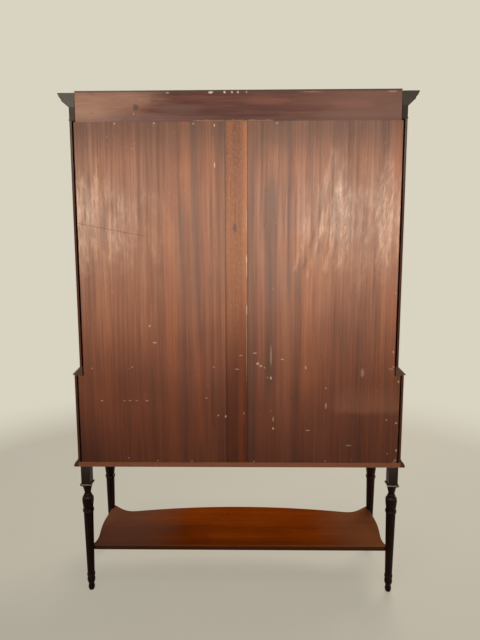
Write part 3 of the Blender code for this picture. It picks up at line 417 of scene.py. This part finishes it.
crack = {
    "start": (0.567, 1.396), "slope": 0.19, "reach": (0.36, 0.6), "ends": 0.05,
    "half": 0.0017, "core": 0.0005,
}


def rightPanelFinish():
    wood = backPanel("right back panel wood", rightBoard)
    x, z = crack["start"]
    line = wood.z - z - (wood.x - x) * crack["slope"] + swing(noise(wood.place, 60.0), 0.004)
    hairline = fade(abs(line), crack["half"], crack["core"])
    wood.stain(hairline * between(wood.x, *crack["reach"], crack["ends"]) * 0.7, darkMark)
    return wood.done()


# mark of old damp, sharp below and soft above
tide = {
    "below": (0.702, 0.726), "above": (0.83, 0.73), "side": (-0.31, -0.38),
    "share": 0.22, "colour": tint(176, 120, 92),
}


def leftPanelFinish():
    wood = backPanel("left back panel wood", leftBoard)
    ragged = wood.z + swing(noise(wood.place, 22.0, 3.0), 0.03)
    damp = fade(ragged, *tide["below"]) * fade(ragged, *tide["above"]) * fade(wood.x, *tide["side"])
    wood.stain(damp * tide["share"], tide["colour"])
    return wood.done()


muntinTone = dict(
    backTone, bands=40.0, bandShare=0.45, lineShare=0.4, cloudShare=0.5,
    dark=tint(98, 52, 29), mid=tint(140, 83, 50), light=tint(176, 114, 72), gloss=0.44)
muntinLook = {
    # painted shade: darker below and along the top
    "paintedShade": [
        ({"z": (1.15, 0.80)}, 0.6, tint(176, 140, 124)), ({"z": (1.56, 1.73)}, 0.5, tint(214, 212, 206))],
    "amberEdge": [({"x": (-0.010, -0.028), "z": (1.0, 1.2)}, 0.4, tint(190, 116, 66))],
    "flecks": tint(206, 148, 104), "redStreak": tint(132, 62, 26), "streakPlace": -0.010,
    "seams": [(0.0435, 0.0022, 0.0008), (-0.0325, 0.0016, 0.0006)],
    "scrapes": [
        (-0.010, 0.926, 0.008, 0.002, 0.7), (0.006, 0.876, 0.010, 0.002, 0.7),
        (-0.020, 0.711, 0.002, 0.007, 0.8), (-0.0295, 1.268, 0.003, 0.020, 0.9),
        (-0.0300, 1.230, 0.002, 0.035, 0.7), (-0.0300, 1.09, 0.0022, 0.030, 0.9),
        (-0.0300, 0.98, 0.0016, 0.20, 0.4), (-0.0300, 1.40, 0.0016, 0.05, 0.4)],
    "knot": [(0.011, 1.377, 0.010, 0.021, 0.75)], "knotColour": tint(84, 58, 56),
}


def muntinFinish():
    look = muntinLook
    wood = Timber("muntin wood", muntinTone)
    patchy = wood.figure(0.3, 18.0)
    wobble = swing(noise(wood.place, 200.0), 0.9)
    # painted shade: darker towards the bottom and along the top
    wood.wash(paintedShadeBelow + look["paintedShade"], "MULTIPLY")
    flecks = fade(wood.figure(0.25, 320.0, 3.0, 0.7), 0.52, 0.68)
    wood.stain(flecks * fade(wood.z, 0.9, 1.2) * 0.3, look["flecks"])
    wood.wash(look["amberEdge"])
    aside = wood.x - look["streakPlace"] + swing(patchy, 0.02)
    redder = fade(abs(aside), 0.014, 0.003) * fade(wood.z, 1.2, 1.0)
    wood.stain(redder * (0.2 + patchy * 0.5), look["redStreak"])
    for seam in look["seams"]:
        wood.seam(*seam, 0.6)
    wood.stain(spots(wood.place, look["scrapes"], wobble), paleMark)
    wood.stain(spots(wood.place, look["knot"], wobble), look["knotColour"])
    return wood.done()


railTone = dict(
    backTone, grain="x", bands=26.0, bandLength=0.12, bandShare=0.8, cloudShare=0.35, rough=0.5, gloss=0.3,
    dark=tint(66, 31, 25), mid=tint(88, 46, 38), light=tint(110, 63, 52))
railLook = {
    "faded": (0.20, 0.50), "fadedColour": tint(178, 136, 116), "streaks": tint(196, 158, 134),
    "patches": [
        (tint(138, 82, 68), [(-0.39, 1.787, 0.09, 0.02, 0.5), (-0.1, 1.80, 0.1, 0.016, 0.4)]),
        (tint(100, 80, 74), [
            (-0.54, 1.775, 0.06, 0.022, 0.6), (-0.38, 1.754, 0.2, 0.012, 0.5),
            (0.2, 1.775, 0.1, 0.02, 0.4)])],
    "upperStrip": [({"z": (1.800, 1.816), "x": (0.1, -0.2)}, 0.4, tint(88, 52, 46))],
    "dulled": (-0.10, -0.45), "dulledColour": tint(130, 92, 80),
    "grimeReach": (0.1, 0.3), "grime": tint(66, 52, 44),
    "strips": [
        ({"z": (1.8286, 1.8312)}, 0.85, tint(62, 54, 47)),  # dark line along the top edge: painted shadow
        ({"z": (1.752, 1.738)}, 0.3, tint(84, 62, 60)),
        ({"z": (1.768, 1.744), "x": (0.05, 0.3)}, 0.4, tint(126, 96, 94)),
        ({"z": (1.815, 1.826), "x": (0.2, 0.4)}, 0.45, tint(136, 102, 94))],
    "worn": [
        (-0.52, 1.827, 0.02, 0.004, 0.7), (-0.556, 1.8275, 0.004, 0.004, 0.9),
        (-0.25, 1.8275, 0.05, 0.003, 0.4)],
    "wornColour": tint(198, 132, 112),
    "chips": [
        (0.091, 1.8278, 0.010, 0.0045, 1.0), (0.044, 1.8280, 0.0045, 0.0045, 1.0),
        (0.019, 1.8280, 0.0045, 0.004, 0.95), (-0.001, 1.8280, 0.004, 0.004, 0.95),
        (-0.030, 1.828, 0.004, 0.003, 0.6), (0.238, 1.8275, 0.008, 0.003, 0.5),
        (0.354, 1.760, 0.003, 0.005, 0.4)],
    "chipColour": tint(228, 214, 196),
    "smudge": [(0.346, 1.781, 0.013, 0.012, 0.7)], "smudgeColour": tint(62, 56, 54),
    "torn": (1.7400, 1.7360), "tornReach": (-0.116, 0.148), "tornColour": tint(176, 134, 106),
}


def topRailFinish():
    look = railLook
    wood = Timber("top rail wood", railTone)
    wobble = swing(noise(wood.place, 160.0), 0.9)
    patchy = wood.figure(0.25, 22.0, 3.0)
    faded = fade(wood.x + swing(patchy, 0.24), *look["faded"])
    wood.stain(faded * (0.4 + patchy * 0.7), look["fadedColour"])
    streaks = fade(wood.figure(0.05, 170.0, 3.0, 0.6), 0.5, 0.68)
    wood.stain(streaks * (0.05 + faded * 0.2), look["streaks"])
    for colour, marks in look["patches"]:
        wood.stain(spots(wood.place, marks, wobble), colour)
    wood.wash(look["upperStrip"])
    wood.stain(fade(wood.x + swing(patchy, 0.2), *look["dulled"]) * 0.65, look["dulledColour"])
    grime = fade(wood.figure(0.5, 30.0, 3.0), 0.58, 0.74) * fade(wood.x, *look["grimeReach"])
    wood.stain(grime * 0.4, look["grime"])
    wood.wash(look["strips"])
    wood.stain(spots(wood.place, look["worn"], wobble), look["wornColour"])
    wood.stain(spots(wood.place, look["chips"], wobble * 1.3) * 0.85, look["chipColour"])
    wood.stain(spots(wood.place, look["smudge"], wobble), look["smudgeColour"])
    ragged = wood.z + swing(noise(wood.place, 90.0, 3.0), 0.014)
    torn = fade(ragged, *look["torn"])  # splintered lower edge
    wood.stain(torn * between(wood.x, *look["tornReach"], 0.01) * 0.45, look["tornColour"])
    return wood.done()


# shown wood: polished mahogany, dull grey-brown where it was sawn at the back
frontTone = {
    "grain": "z", "wander": 0.012, "bands": 34.0, "bandLength": 0.03, "lines": 190.0,
    "bandShare": 0.7, "lineShare": 0.5, "cloudShare": 0.45, "poreShare": 0.5,
    "dark": tint(62, 27, 15), "mid": tint(100, 47, 25), "light": tint(136, 70, 38),
    "pore": tint(38, 16, 10),
    "rough": 0.38, "roughCloud": 0.12, "roughLines": 0.12, "relief": 0.18, "gloss": 0.45, "coat": 0.2,
}
sawnTone = tint(78, 61, 50)
brassTone = tint(176, 134, 66)
caseBack = cadBox[1][1]
sawnFace = {"start": caseBack - 0.0012, "full": caseBack - 0.0004, "rough": 0.4}
# gap beside the back panels, which are wider below the waist
gap = {"waist": 0.884, "above": 0.5666, "below": 0.5876, "behind": 0.2, "hollowShadow": tint(16, 6, 5)}
# shelf pegs stand out from the inner faces of post and stile: the face, and the depth behind which it is
pegFaces = [(0.5335, -0.090), (0.5515, 0.1)]
hinges = {
    "barrel": 0.0042, "leafHalf": 0.00112, "leafReach": 0.0245, "slack": 0.0015,
    "pins": [
        {"x": 0.53295, "y": -0.1249, "levels": ((0.9766, 1.0306), (1.5693, 1.6233))},
        {"x": 0.56995, "y": -0.1384, "levels": ((0.5725, 0.6265), (0.7661, 0.8201))}],
}


def hingeMask(wood):
    slack = hinges["slack"]
    total = 0.0
    for pin in hinges["pins"]:
        aside = abs(wood.x) - pin["x"]
        ahead = wood.y - pin["y"]
        barrel = aside * aside + ahead * ahead < hinges["barrel"] ** 2
        leaf = (abs(aside) < hinges["leafHalf"]) * (abs(ahead) < hinges["leafReach"])
        level = 0.0
        for low, high in pin["levels"]:
            level = level + within(wood.z, low - slack, high + slack)
        total = total | (barrel | leaf) * level
    return total


def shownWood(name, grain, hinged=False, pegged=False, sawnColour=sawnTone, crown=None, **change):
    wood = Timber(name, dict(frontTone, grain=grain, **change))
    sawn = fade(wood.y, sawnFace["start"], sawnFace["full"])
    grime = 0.86 + swing(noise(wood.place, 60.0, 3.0), 0.6)
    wood.stain(sawn * grime, sawnColour)
    if crown:  # greyer higher up
        shade, low, high = crown
        wood.stain(sawn * fade(wood.z, low, high) * grime, shade)
    wood.rough = wood.rough + sawn * sawnFace["rough"]
    if hinged:
        below = wood.z < gap["waist"]
        inside = abs(wood.x) < below * (gap["below"] - gap["above"]) + gap["above"]
        hollow = inside * (wood.y > gap["behind"]) * (1 - below * 0.4)
        # the hollow seen through the gap is painted near-black: painted shadow
        wood.stain(hollow, gap["hollowShadow"])
        fittings = hingeMask(wood)
        if pegged:
            for inner, behind in pegFaces:
                fittings = fittings | (abs(wood.x) < inner) * (wood.y > behind)
        wood.stain(fittings, brassTone)
        wood.metal = fittings | hollow
        wood.coat = (1 - hollow) * wood.tone["coat"]
    return wood.done()


# legs: nearly black, waxed
legTone = dict(
    frontTone, dark=tint(16, 6, 4), mid=tint(34, 12, 8), light=tint(60, 22, 14), pore=tint(10, 5, 4),
    rough=0.2, gloss=0.2, coat=0.0, cloudShare=0.7)
legLook = {
    "block": (0.4365, 0.4385), "blockColour": tint(52, 41, 33),  # greyer square above
    "collar": (0.4308, 0.4350), "collarHighlight": tint(160, 146, 128),  # painted highlight on the collar's edge
}


def legFinish():
    wood = Timber("leg wood", legTone)
    block = fade(wood.z, *legLook["block"])
    wood.stain(block * 0.8, legLook["blockColour"])
    # painted highlight on the collar's edge
    wood.stain(between(wood.z, *legLook["collar"], 0.0006) * 0.85, legLook["collarHighlight"])
    wood.rough = wood.rough + block * 0.15
    return wood.done()


tierTone = dict(
    frontTone, grain="x", bands=16.0, bandLength=0.06, rough=0.3, gloss=0.0, coat=0.0, cloudShare=0.6,
    dark=tint(114, 46, 6), mid=tint(146, 64, 9), light=tint(178, 88, 16))
tierBack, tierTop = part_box("undertier")[1].yz
# painted highlight along the arris above the back edge
arrisHighlight = {"y": (tierBack - 0.0046, tierBack - 0.0018), "z": (tierTop - 0.0031, tierTop - 0.0006)}
tierLook = {
    "ends": [  # painted reflection: greyer towards both ends
        (0.16, 0.42, 0.65, tint(112, 86, 74)), (-0.26, -0.46, 0.45, tint(124, 96, 74))],
    "edge": [
        ({"y": (tierBack - 0.0026, tierBack - 0.0004)}, 0.8, tint(58, 36, 24)),
        (arrisHighlight, 0.5, tint(150, 100, 76))],
}


def undertierFinish():
    wood = Timber("undertier wood", tierTone)
    ragged = wood.x + swing(noise(wood.place, 7.0), 0.2)
    # painted reflection, greyer towards both ends
    for start, full, share, colour in tierLook["ends"]:
        wood.stain(fade(ragged, start, full) * share, colour)
    # dark rear edge, and a painted highlight along its arris
    wood.wash(tierLook["edge"])
    return wood.done()


glassLook = {"colour": (0.90, 0.94, 0.91, 1.0), "rough": 0.02, "alpha": 0.34, "ripple": 0.25}


def glassFinish():
    look = glassLook
    finish, shader = startFinish("old glass")
    place = objectPlace()
    ripple = noise(drawn(place, "z", 0.5), 9.0)
    dust = noise(place, 26.0, 4.0, 0.6)
    plugAll(shader, {
        "Base Color": look["colour"], "Transmission Weight": 1.0, "IOR": 1.5,
        "Roughness": look["rough"] + fade(dust, 0.5, 0.8) * 0.06,
        "Alpha": look["alpha"] + fade(dust, 0.45, 0.8) * 0.1,
        "Normal": bump(ripple, look["ripple"], 0.001),
    })
    return finish


def metalFinish(name, colour, tarnish, rough):
    finish, shader = startFinish(name)
    place = objectPlace()
    cloud = noise(place, 160.0, 4.0, 0.6)
    scratch = noise(drawn(place, "z", 0.1), 1400.0)
    plugAll(shader, {
        "Base Color": mix(fade(cloud, 0.42, 0.68), colour, tarnish), "Metallic": 1.0,
        "Roughness": rough + cloud * 0.2 + swing(scratch, 0.1), "Normal": bump(scratch, 0.15, 0.0002),
    })
    return finish


rightPanel = rightPanelFinish()
leftPanel = leftPanelFinish()
muntinWood = muntinFinish()
topRailWood = topRailFinish()
legWood = legFinish()
tierWood = undertierFinish()
uprightWood = shownWood("upright mahogany", "z")
hingedWood = shownWood("hinged mahogany", "z", hinged=True)
crossWood = shownWood("cross mahogany", "x")
shelfWood = shownWood("shelf mahogany", "x", rough=0.4, coat=0.1)
beadWood = shownWood(
    "bead mahogany", "x", dark=tint(34, 15, 9), mid=tint(54, 24, 14), light=tint(78, 38, 22))
plankWood = shownWood(
    "base plank mahogany", "x", sawnColour=tint(142, 88, 60), rough=0.42, coat=0.1,
    dark=tint(80, 38, 22), mid=tint(118, 62, 36), light=tint(150, 88, 54))
dull = {"gloss": 0.15, "coat": 0.0, "rough": 0.46}  # sides, less polished than the front
# the sawn rear edges are lighter and greyer higher up: painted highlight
postWood = shownWood(
    "side mahogany", "z", hinged=True, pegged=True, sawnColour=tint(84, 54, 42),
    crown=(tint(110, 97, 88), 1.4, 1.7), **dull)
sideWood = shownWood("side moulding mahogany", "y", sawnColour=tint(124, 97, 86), **dull)
baseWood = shownWood("base moulding mahogany", "y", sawnColour=tint(84, 58, 46), **dull)
friezeTop = 1.781, 1.786  # the moulding above the frieze is greyer
corniceWood = shownWood(
    "cornice mahogany", "y", sawnColour=tint(56, 51, 47), crown=(tint(76, 71, 67), *friezeTop), **dull)
rightCorniceWood = shownWood(
    "right cornice mahogany", "y", sawnColour=tint(80, 76, 70),
    crown=(tint(103, 103, 99), *friezeTop), **dull)
oldGlass = glassFinish()
brass = metalFinish("brass", brassTone, tint(104, 74, 36), 0.22)
steel = metalFinish("steel", tint(150, 148, 144), tint(92, 84, 76), 0.28)
print("finishes made:", len(bpy.data.materials))

# the first row whose word is in a node's name gives its finish
dress = [
    ("back_muntin", muntinWood), ("back_panel_left", leftPanel), ("back_panel_right", rightPanel),
    ("back_top_rail", topRailWood), ("undertier", tierWood), ("base_plank", plankWood), ("leg_", legWood),
    ("shelf", shelfWood), ("bottom_board", shelfWood), ("top_board", shelfWood),
    ("waist_board", crossWood), ("bead", beadWood), ("glass", oldGlass), ("key", steel), ("bolt", steel),
    ("lock", brass), ("escutcheon", brass), ("front", crossWood),
    ("cornice_right", rightCorniceWood), ("cornice", corniceWood),
    ("base_moulding", baseWood), ("moulding", sideWood), ("side_top", sideWood), ("side_bottom", sideWood),
    ("rail", crossWood), ("post", postWood), ("rear_stile", postWood), ("lower_side", postWood),
    ("hinge_stile", hingedWood), ("door_panel", hingedWood), ("meeting_stile", uprightWood),
]


def finishOf(name):
    return next(finish for word, finish in dress if word in name)


for name, node in nodes.items():
    node.data.materials.clear()
    node.data.materials.append(finishOf(name))
print("nodes dressed")


# legs: square block and collar, carved bulb, reeded shaft, turned foot
legShape = {
    "sides": 96, "smoothAngle": 38, "slack": 0.0003,
    "ridges": 12,  # reeds round the shaft, lobes round the bulb
    "reeds": {"levels": (0.0760, 0.3140), "depth": 0.0014, "radius": 0.0158},
    "lobes": {"levels": (0.3380, 0.3830), "depth": 0.0016, "radius": 0.0205},
    "groove": [0.08, 0.3, 0.66, 1.0],  # depth of a groove, spoke by spoke from ridge to middle
    "turning": {  # height and radius, from the floor up
        "foot": [
            (0.0, 0.0085), (0.0030, 0.0100), (0.0075, 0.0117), (0.0125, 0.0120), (0.0170, 0.0116),
            (0.0195, 0.0111), (0.0215, 0.0104), (0.0250, 0.0104), (0.0290, 0.0112), (0.0330, 0.0131),
            (0.0385, 0.0146), (0.0435, 0.0150), (0.0490, 0.0143), (0.0530, 0.0131)],
        "footRings": [
            (0.0550, 0.0128), (0.0572, 0.0128), (0.0580, 0.0146), (0.0598, 0.0152), (0.0622, 0.0150),
            (0.0632, 0.0143), (0.0642, 0.0150), (0.0666, 0.0152), (0.0682, 0.0146), (0.0690, 0.0128)],
        "shaft": [
            (0.0715, 0.0128), (0.0730, 0.0130), (0.0745, 0.0136), (0.0790, 0.0137), (0.1400, 0.0148),
            (0.2000, 0.0159), (0.2600, 0.0170), (0.3085, 0.0178), (0.3149, 0.0180)],
        "shaftRings": [
            (0.3167, 0.0176), (0.3197, 0.0176), (0.3207, 0.0196), (0.3223, 0.0206), (0.3245, 0.0205),
            (0.3259, 0.0193), (0.3273, 0.0205), (0.3297, 0.0207), (0.3311, 0.0196), (0.3319, 0.0177)],
        "bulb": [
            (0.3344, 0.0177), (0.3400, 0.0186), (0.3470, 0.0196), (0.3544, 0.0204), (0.3620, 0.0212),
            (0.3684, 0.0216), (0.3735, 0.0212), (0.3784, 0.0199), (0.3820, 0.0176), (0.3840, 0.0156)],
        "neck": [
            (0.3852, 0.0147), (0.3864, 0.0149), (0.3884, 0.0149), (0.3904, 0.0143), (0.3916, 0.0126),
            (0.3944, 0.0116), (0.3990, 0.0120), (0.4050, 0.0131), (0.4104, 0.0144), (0.4170, 0.0160),
            (0.4222, 0.0173), (0.4264, 0.0184)],
        "square": [
            (0.4270, 0.0188), (0.4310, 0.0206), (0.4318, 0.0216), (0.4344, 0.0216), (0.4352, 0.0206),
            (0.4362, 0.0180), (0.4374, 0.0169), (0.5056, 0.0169), (0.5064, 0.0164)],
    },
}


def pick(mesh, test):
    mesh.vertices.foreach_set("select", [bool(test(v.co)) for v in mesh.vertices])
    mesh.edges.foreach_set("select", [False] * len(mesh.edges))
    mesh.polygons.foreach_set("select", [False] * len(mesh.polygons))


def scaleRing(obj, test, share):
    bpy.ops.object.mode_set(mode="OBJECT")
    pick(obj.data, test)
    bpy.ops.object.mode_set(mode="EDIT")
    bpy.ops.mesh.select_mode(type="VERT")
    bpy.ops.transform.resize(value=(share, share, 1.0), center_override=(0, 0, 0))


def spokeOf(co, turn):
    return round(math.atan2(co.y, co.x) / turn)


def squareTop(leg, shape, turn):
    sides = shape["sides"]
    lowest = shape["turning"]["square"][0][0] - shape["slack"]
    for step in range(1, sides // 8 + 1):  # from round to square, one spoke of the eighth at a time

        def onSpoke(co, step=step):
            spoke = spokeOf(co, turn) % (sides // 4)
            return co.z > lowest and min(spoke, sides // 4 - spoke) == step
        scaleRing(leg, onSpoke, 1 / math.cos(step * turn))


def carveGrooves(leg, shape, cut, turn):
    apart = shape["sides"] // shape["ridges"]
    low, high = cut["levels"]
    for step, share in enumerate(shape["groove"], 1):

        def inGroove(co, step=step):
            spoke = spokeOf(co, turn) % apart
            return low < co.z < high and min(spoke, apart - spoke) == step
        scaleRing(leg, inGroove, 1 - share * cut["depth"] / cut["radius"])


def makeLeg(shape):
    rings = sum(shape["turning"].values(), [])
    bpy.ops.object.select_all(action="DESELECT")
    start = {"vertices": shape["sides"], "radius": rings[0][1], "location": (0, 0, 0)}
    bpy.ops.mesh.primitive_circle_add(fill_type="NGON", **start)
    leg = bpy.context.object
    bpy.ops.object.mode_set(mode="EDIT")
    bpy.ops.mesh.select_all(action="SELECT")
    for (below, small), (above, size) in zip(rings, rings[1:]):
        bpy.ops.mesh.extrude_region_move(TRANSFORM_OT_translate={"value": (0, 0, above - below)})
        bpy.ops.transform.resize(value=(size / small, size / small, 1.0), center_override=(0, 0, above))
    turn = 2 * math.pi / shape["sides"]
    squareTop(leg, shape, turn)
    carveGrooves(leg, shape, shape["reeds"], turn)
    carveGrooves(leg, shape, shape["lobes"], turn)
    bpy.ops.mesh.select_all(action="SELECT")
    bpy.ops.mesh.normals_make_consistent(inside=False)
    bpy.ops.object.mode_set(mode="OBJECT")
    bpy.ops.object.shade_smooth_by_angle(angle=math.radians(shape["smoothAngle"]))
    leg.data.materials.append(legWood)
    return leg


def copyLeg(leg):
    bpy.ops.object.select_all(action="DESELECT")
    leg.select_set(True)
    bpy.context.view_layer.objects.active = leg
    bpy.ops.object.duplicate(linked=False)
    copy = bpy.context.object
    copy.parent = None
    return copy


def addLegs():
    names = ["leg_%s_%s" % (row, side) for side in ("left", "right") for row in ("back", "front")]
    first = makeLeg(legShape)
    stands = Vector((0, 0, 0))  # where the first leg stands
    for node in names:
        leg = first if node == names[0] else copyLeg(first)
        low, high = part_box(node)
        middle = (low + high) / 2
        bpy.ops.object.mode_set(mode="EDIT")
        bpy.ops.mesh.select_all(action="SELECT")
        bpy.ops.transform.translate(value=(middle.x - stands.x, middle.y - stands.y, 0))
        bpy.ops.object.mode_set(mode="OBJECT")
        if leg is first:
            stands = middle
        leg.name = "turned_" + node
        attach(leg, "case")
        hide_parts(node)  # a copy also keeps the node that the first leg stands for
    print("legs turned")


addLegs()

# pale floor that runs out into the backdrop
studio = {
    "floor": tint(206, 199, 185), "floorPatches": tint(200, 193, 178), "floorSize": 16,
    "backdrop": tint(217, 211, 194), "runOut": (0.9, 3.0), "leastGlow": 0.5,
    "ambient": 0.19, "ambientColour": (1.0, 0.96, 0.90, 1.0), "lamp": (1.0, 0.92, 0.79),
}


def addFloor():
    bpy.ops.object.select_all(action="DESELECT")
    size = studio["floorSize"]
    bpy.ops.mesh.primitive_grid_add(x_subdivisions=4, y_subdivisions=4, size=size, location=(0, 0, 0))
    floor = bpy.context.object
    floor.name = "floor"
    finish, shader = startFinish("pale floor")
    place = objectPlace()
    shade = mix(noise(place, 5.0, 4.0), studio["floor"], studio["floorPatches"])
    plugAll(shader, {"Base Color": shade, "Roughness": 0.8})
    seen = Wire.node("ShaderNodeLightPath", {}, {}, "Is Camera Ray")
    glow = Wire.node("ShaderNodeEmission", {}, {"Color": studio["backdrop"], "Strength": 1.0})
    pale = fade(distance(place), *studio["runOut"]) | studio["leastGlow"]
    merged = Wire.node("ShaderNodeMixShader", {}, {0: pale * seen, 1: Wire(shader.outputs[0]), 2: glow})
    plugAll(finish.node_tree.nodes["Material Output"], {"Surface": merged})
    floor.data.materials.append(finish)


def addWorld():
    world = bpy.data.worlds.new("studio")
    scene.world = world
    world.use_nodes = True
    Wire.tree = world.node_tree
    path = Wire.node("ShaderNodeLightPath").socket.node
    camera, through, glossy = [
        Wire(path.outputs["Is %s Ray" % kind]) for kind in ("Camera", "Transmission", "Glossy")]
    seen = camera | through | glossy * 0.7
    ambient = {"Color": studio["ambientColour"], "Strength": studio["ambient"]}
    lit = Wire.node("ShaderNodeBackground", {}, ambient)
    shown = Wire.node("ShaderNodeBackground", {}, {"Color": studio["backdrop"], "Strength": 1.0})
    merged = Wire.node("ShaderNodeMixShader", {}, {0: seen, 1: lit, 2: shown})
    plugAll(world.node_tree.nodes["World Output"], {"Surface": merged})


lights = {
    "right": {
        "place": (1.2, 2.6, 1.66), "aim": (0.23, 0.2, 1.38),
        "size": (0.8, 0.9), "power": 3.5, "spread": 66},
    "left": {
        "place": (-0.675, 2.6, 1.66), "aim": (-0.175, 0.2, 1.38),
        "size": (1.35, 0.9), "power": 5.6, "spread": 66},
    "above": {
        "place": (0.0, 1.1, 3.1), "aim": (0.0, 0.3, 1.3),
        "size": (1.6, 0.7), "power": 6.0, "spread": 180},
    "front": {
        "place": (-1.5, -2.4, 3.1), "aim": (0.0, 0.0, 0.9),
        "size": (2.0, 1.4), "power": 72.0, "spread": 180},
}


def addLights():
    for name, setup in lights.items():
        bpy.ops.object.light_add(type="AREA", location=setup["place"])
        lamp = bpy.context.object
        lamp.name = name + "_light"
        lamp.data.shape = "RECTANGLE"
        lamp.data.size, lamp.data.size_y = setup["size"]
        lamp.data.energy = setup["power"]
        lamp.data.spread = math.radians(setup["spread"])
        lamp.data.color = studio["lamp"]
        lamp.visible_camera = False
        lamp.visible_transmission = False  # not seen through the glass
        aim = Vector(setup["aim"]) - Vector(setup["place"])
        lamp.rotation_euler = aim.to_track_quat("-Z", "Y").to_euler()


cameraSetup = {
    "place": (-0.0295, 1.9132, 1.2605), "yaw": 0.7896, "pitch": -6.8975, "roll": -0.1466,
    "lens": 27.056, "sensor": 36.0, "farthest": 60.0,
}


def addCamera():
    setup = cameraSetup
    bpy.ops.object.camera_add(location=setup["place"])
    camera = bpy.context.object
    tilt = Euler((math.radians(90 + setup["pitch"]), 0, math.radians(180 + setup["yaw"]))).to_matrix()
    turned = tilt @ Matrix.Rotation(math.radians(setup["roll"]), 3, "Z")
    camera.rotation_euler = turned.to_euler()
    camera.data.lens = setup["lens"]
    camera.data.sensor_width = setup["sensor"]
    camera.data.sensor_fit = "AUTO"
    camera.data.clip_end = setup["farthest"]
    scene.camera = camera


addFloor()
addWorld()
addLights()
addCamera()
scene.view_settings.view_transform = "Standard"
print("studio set")
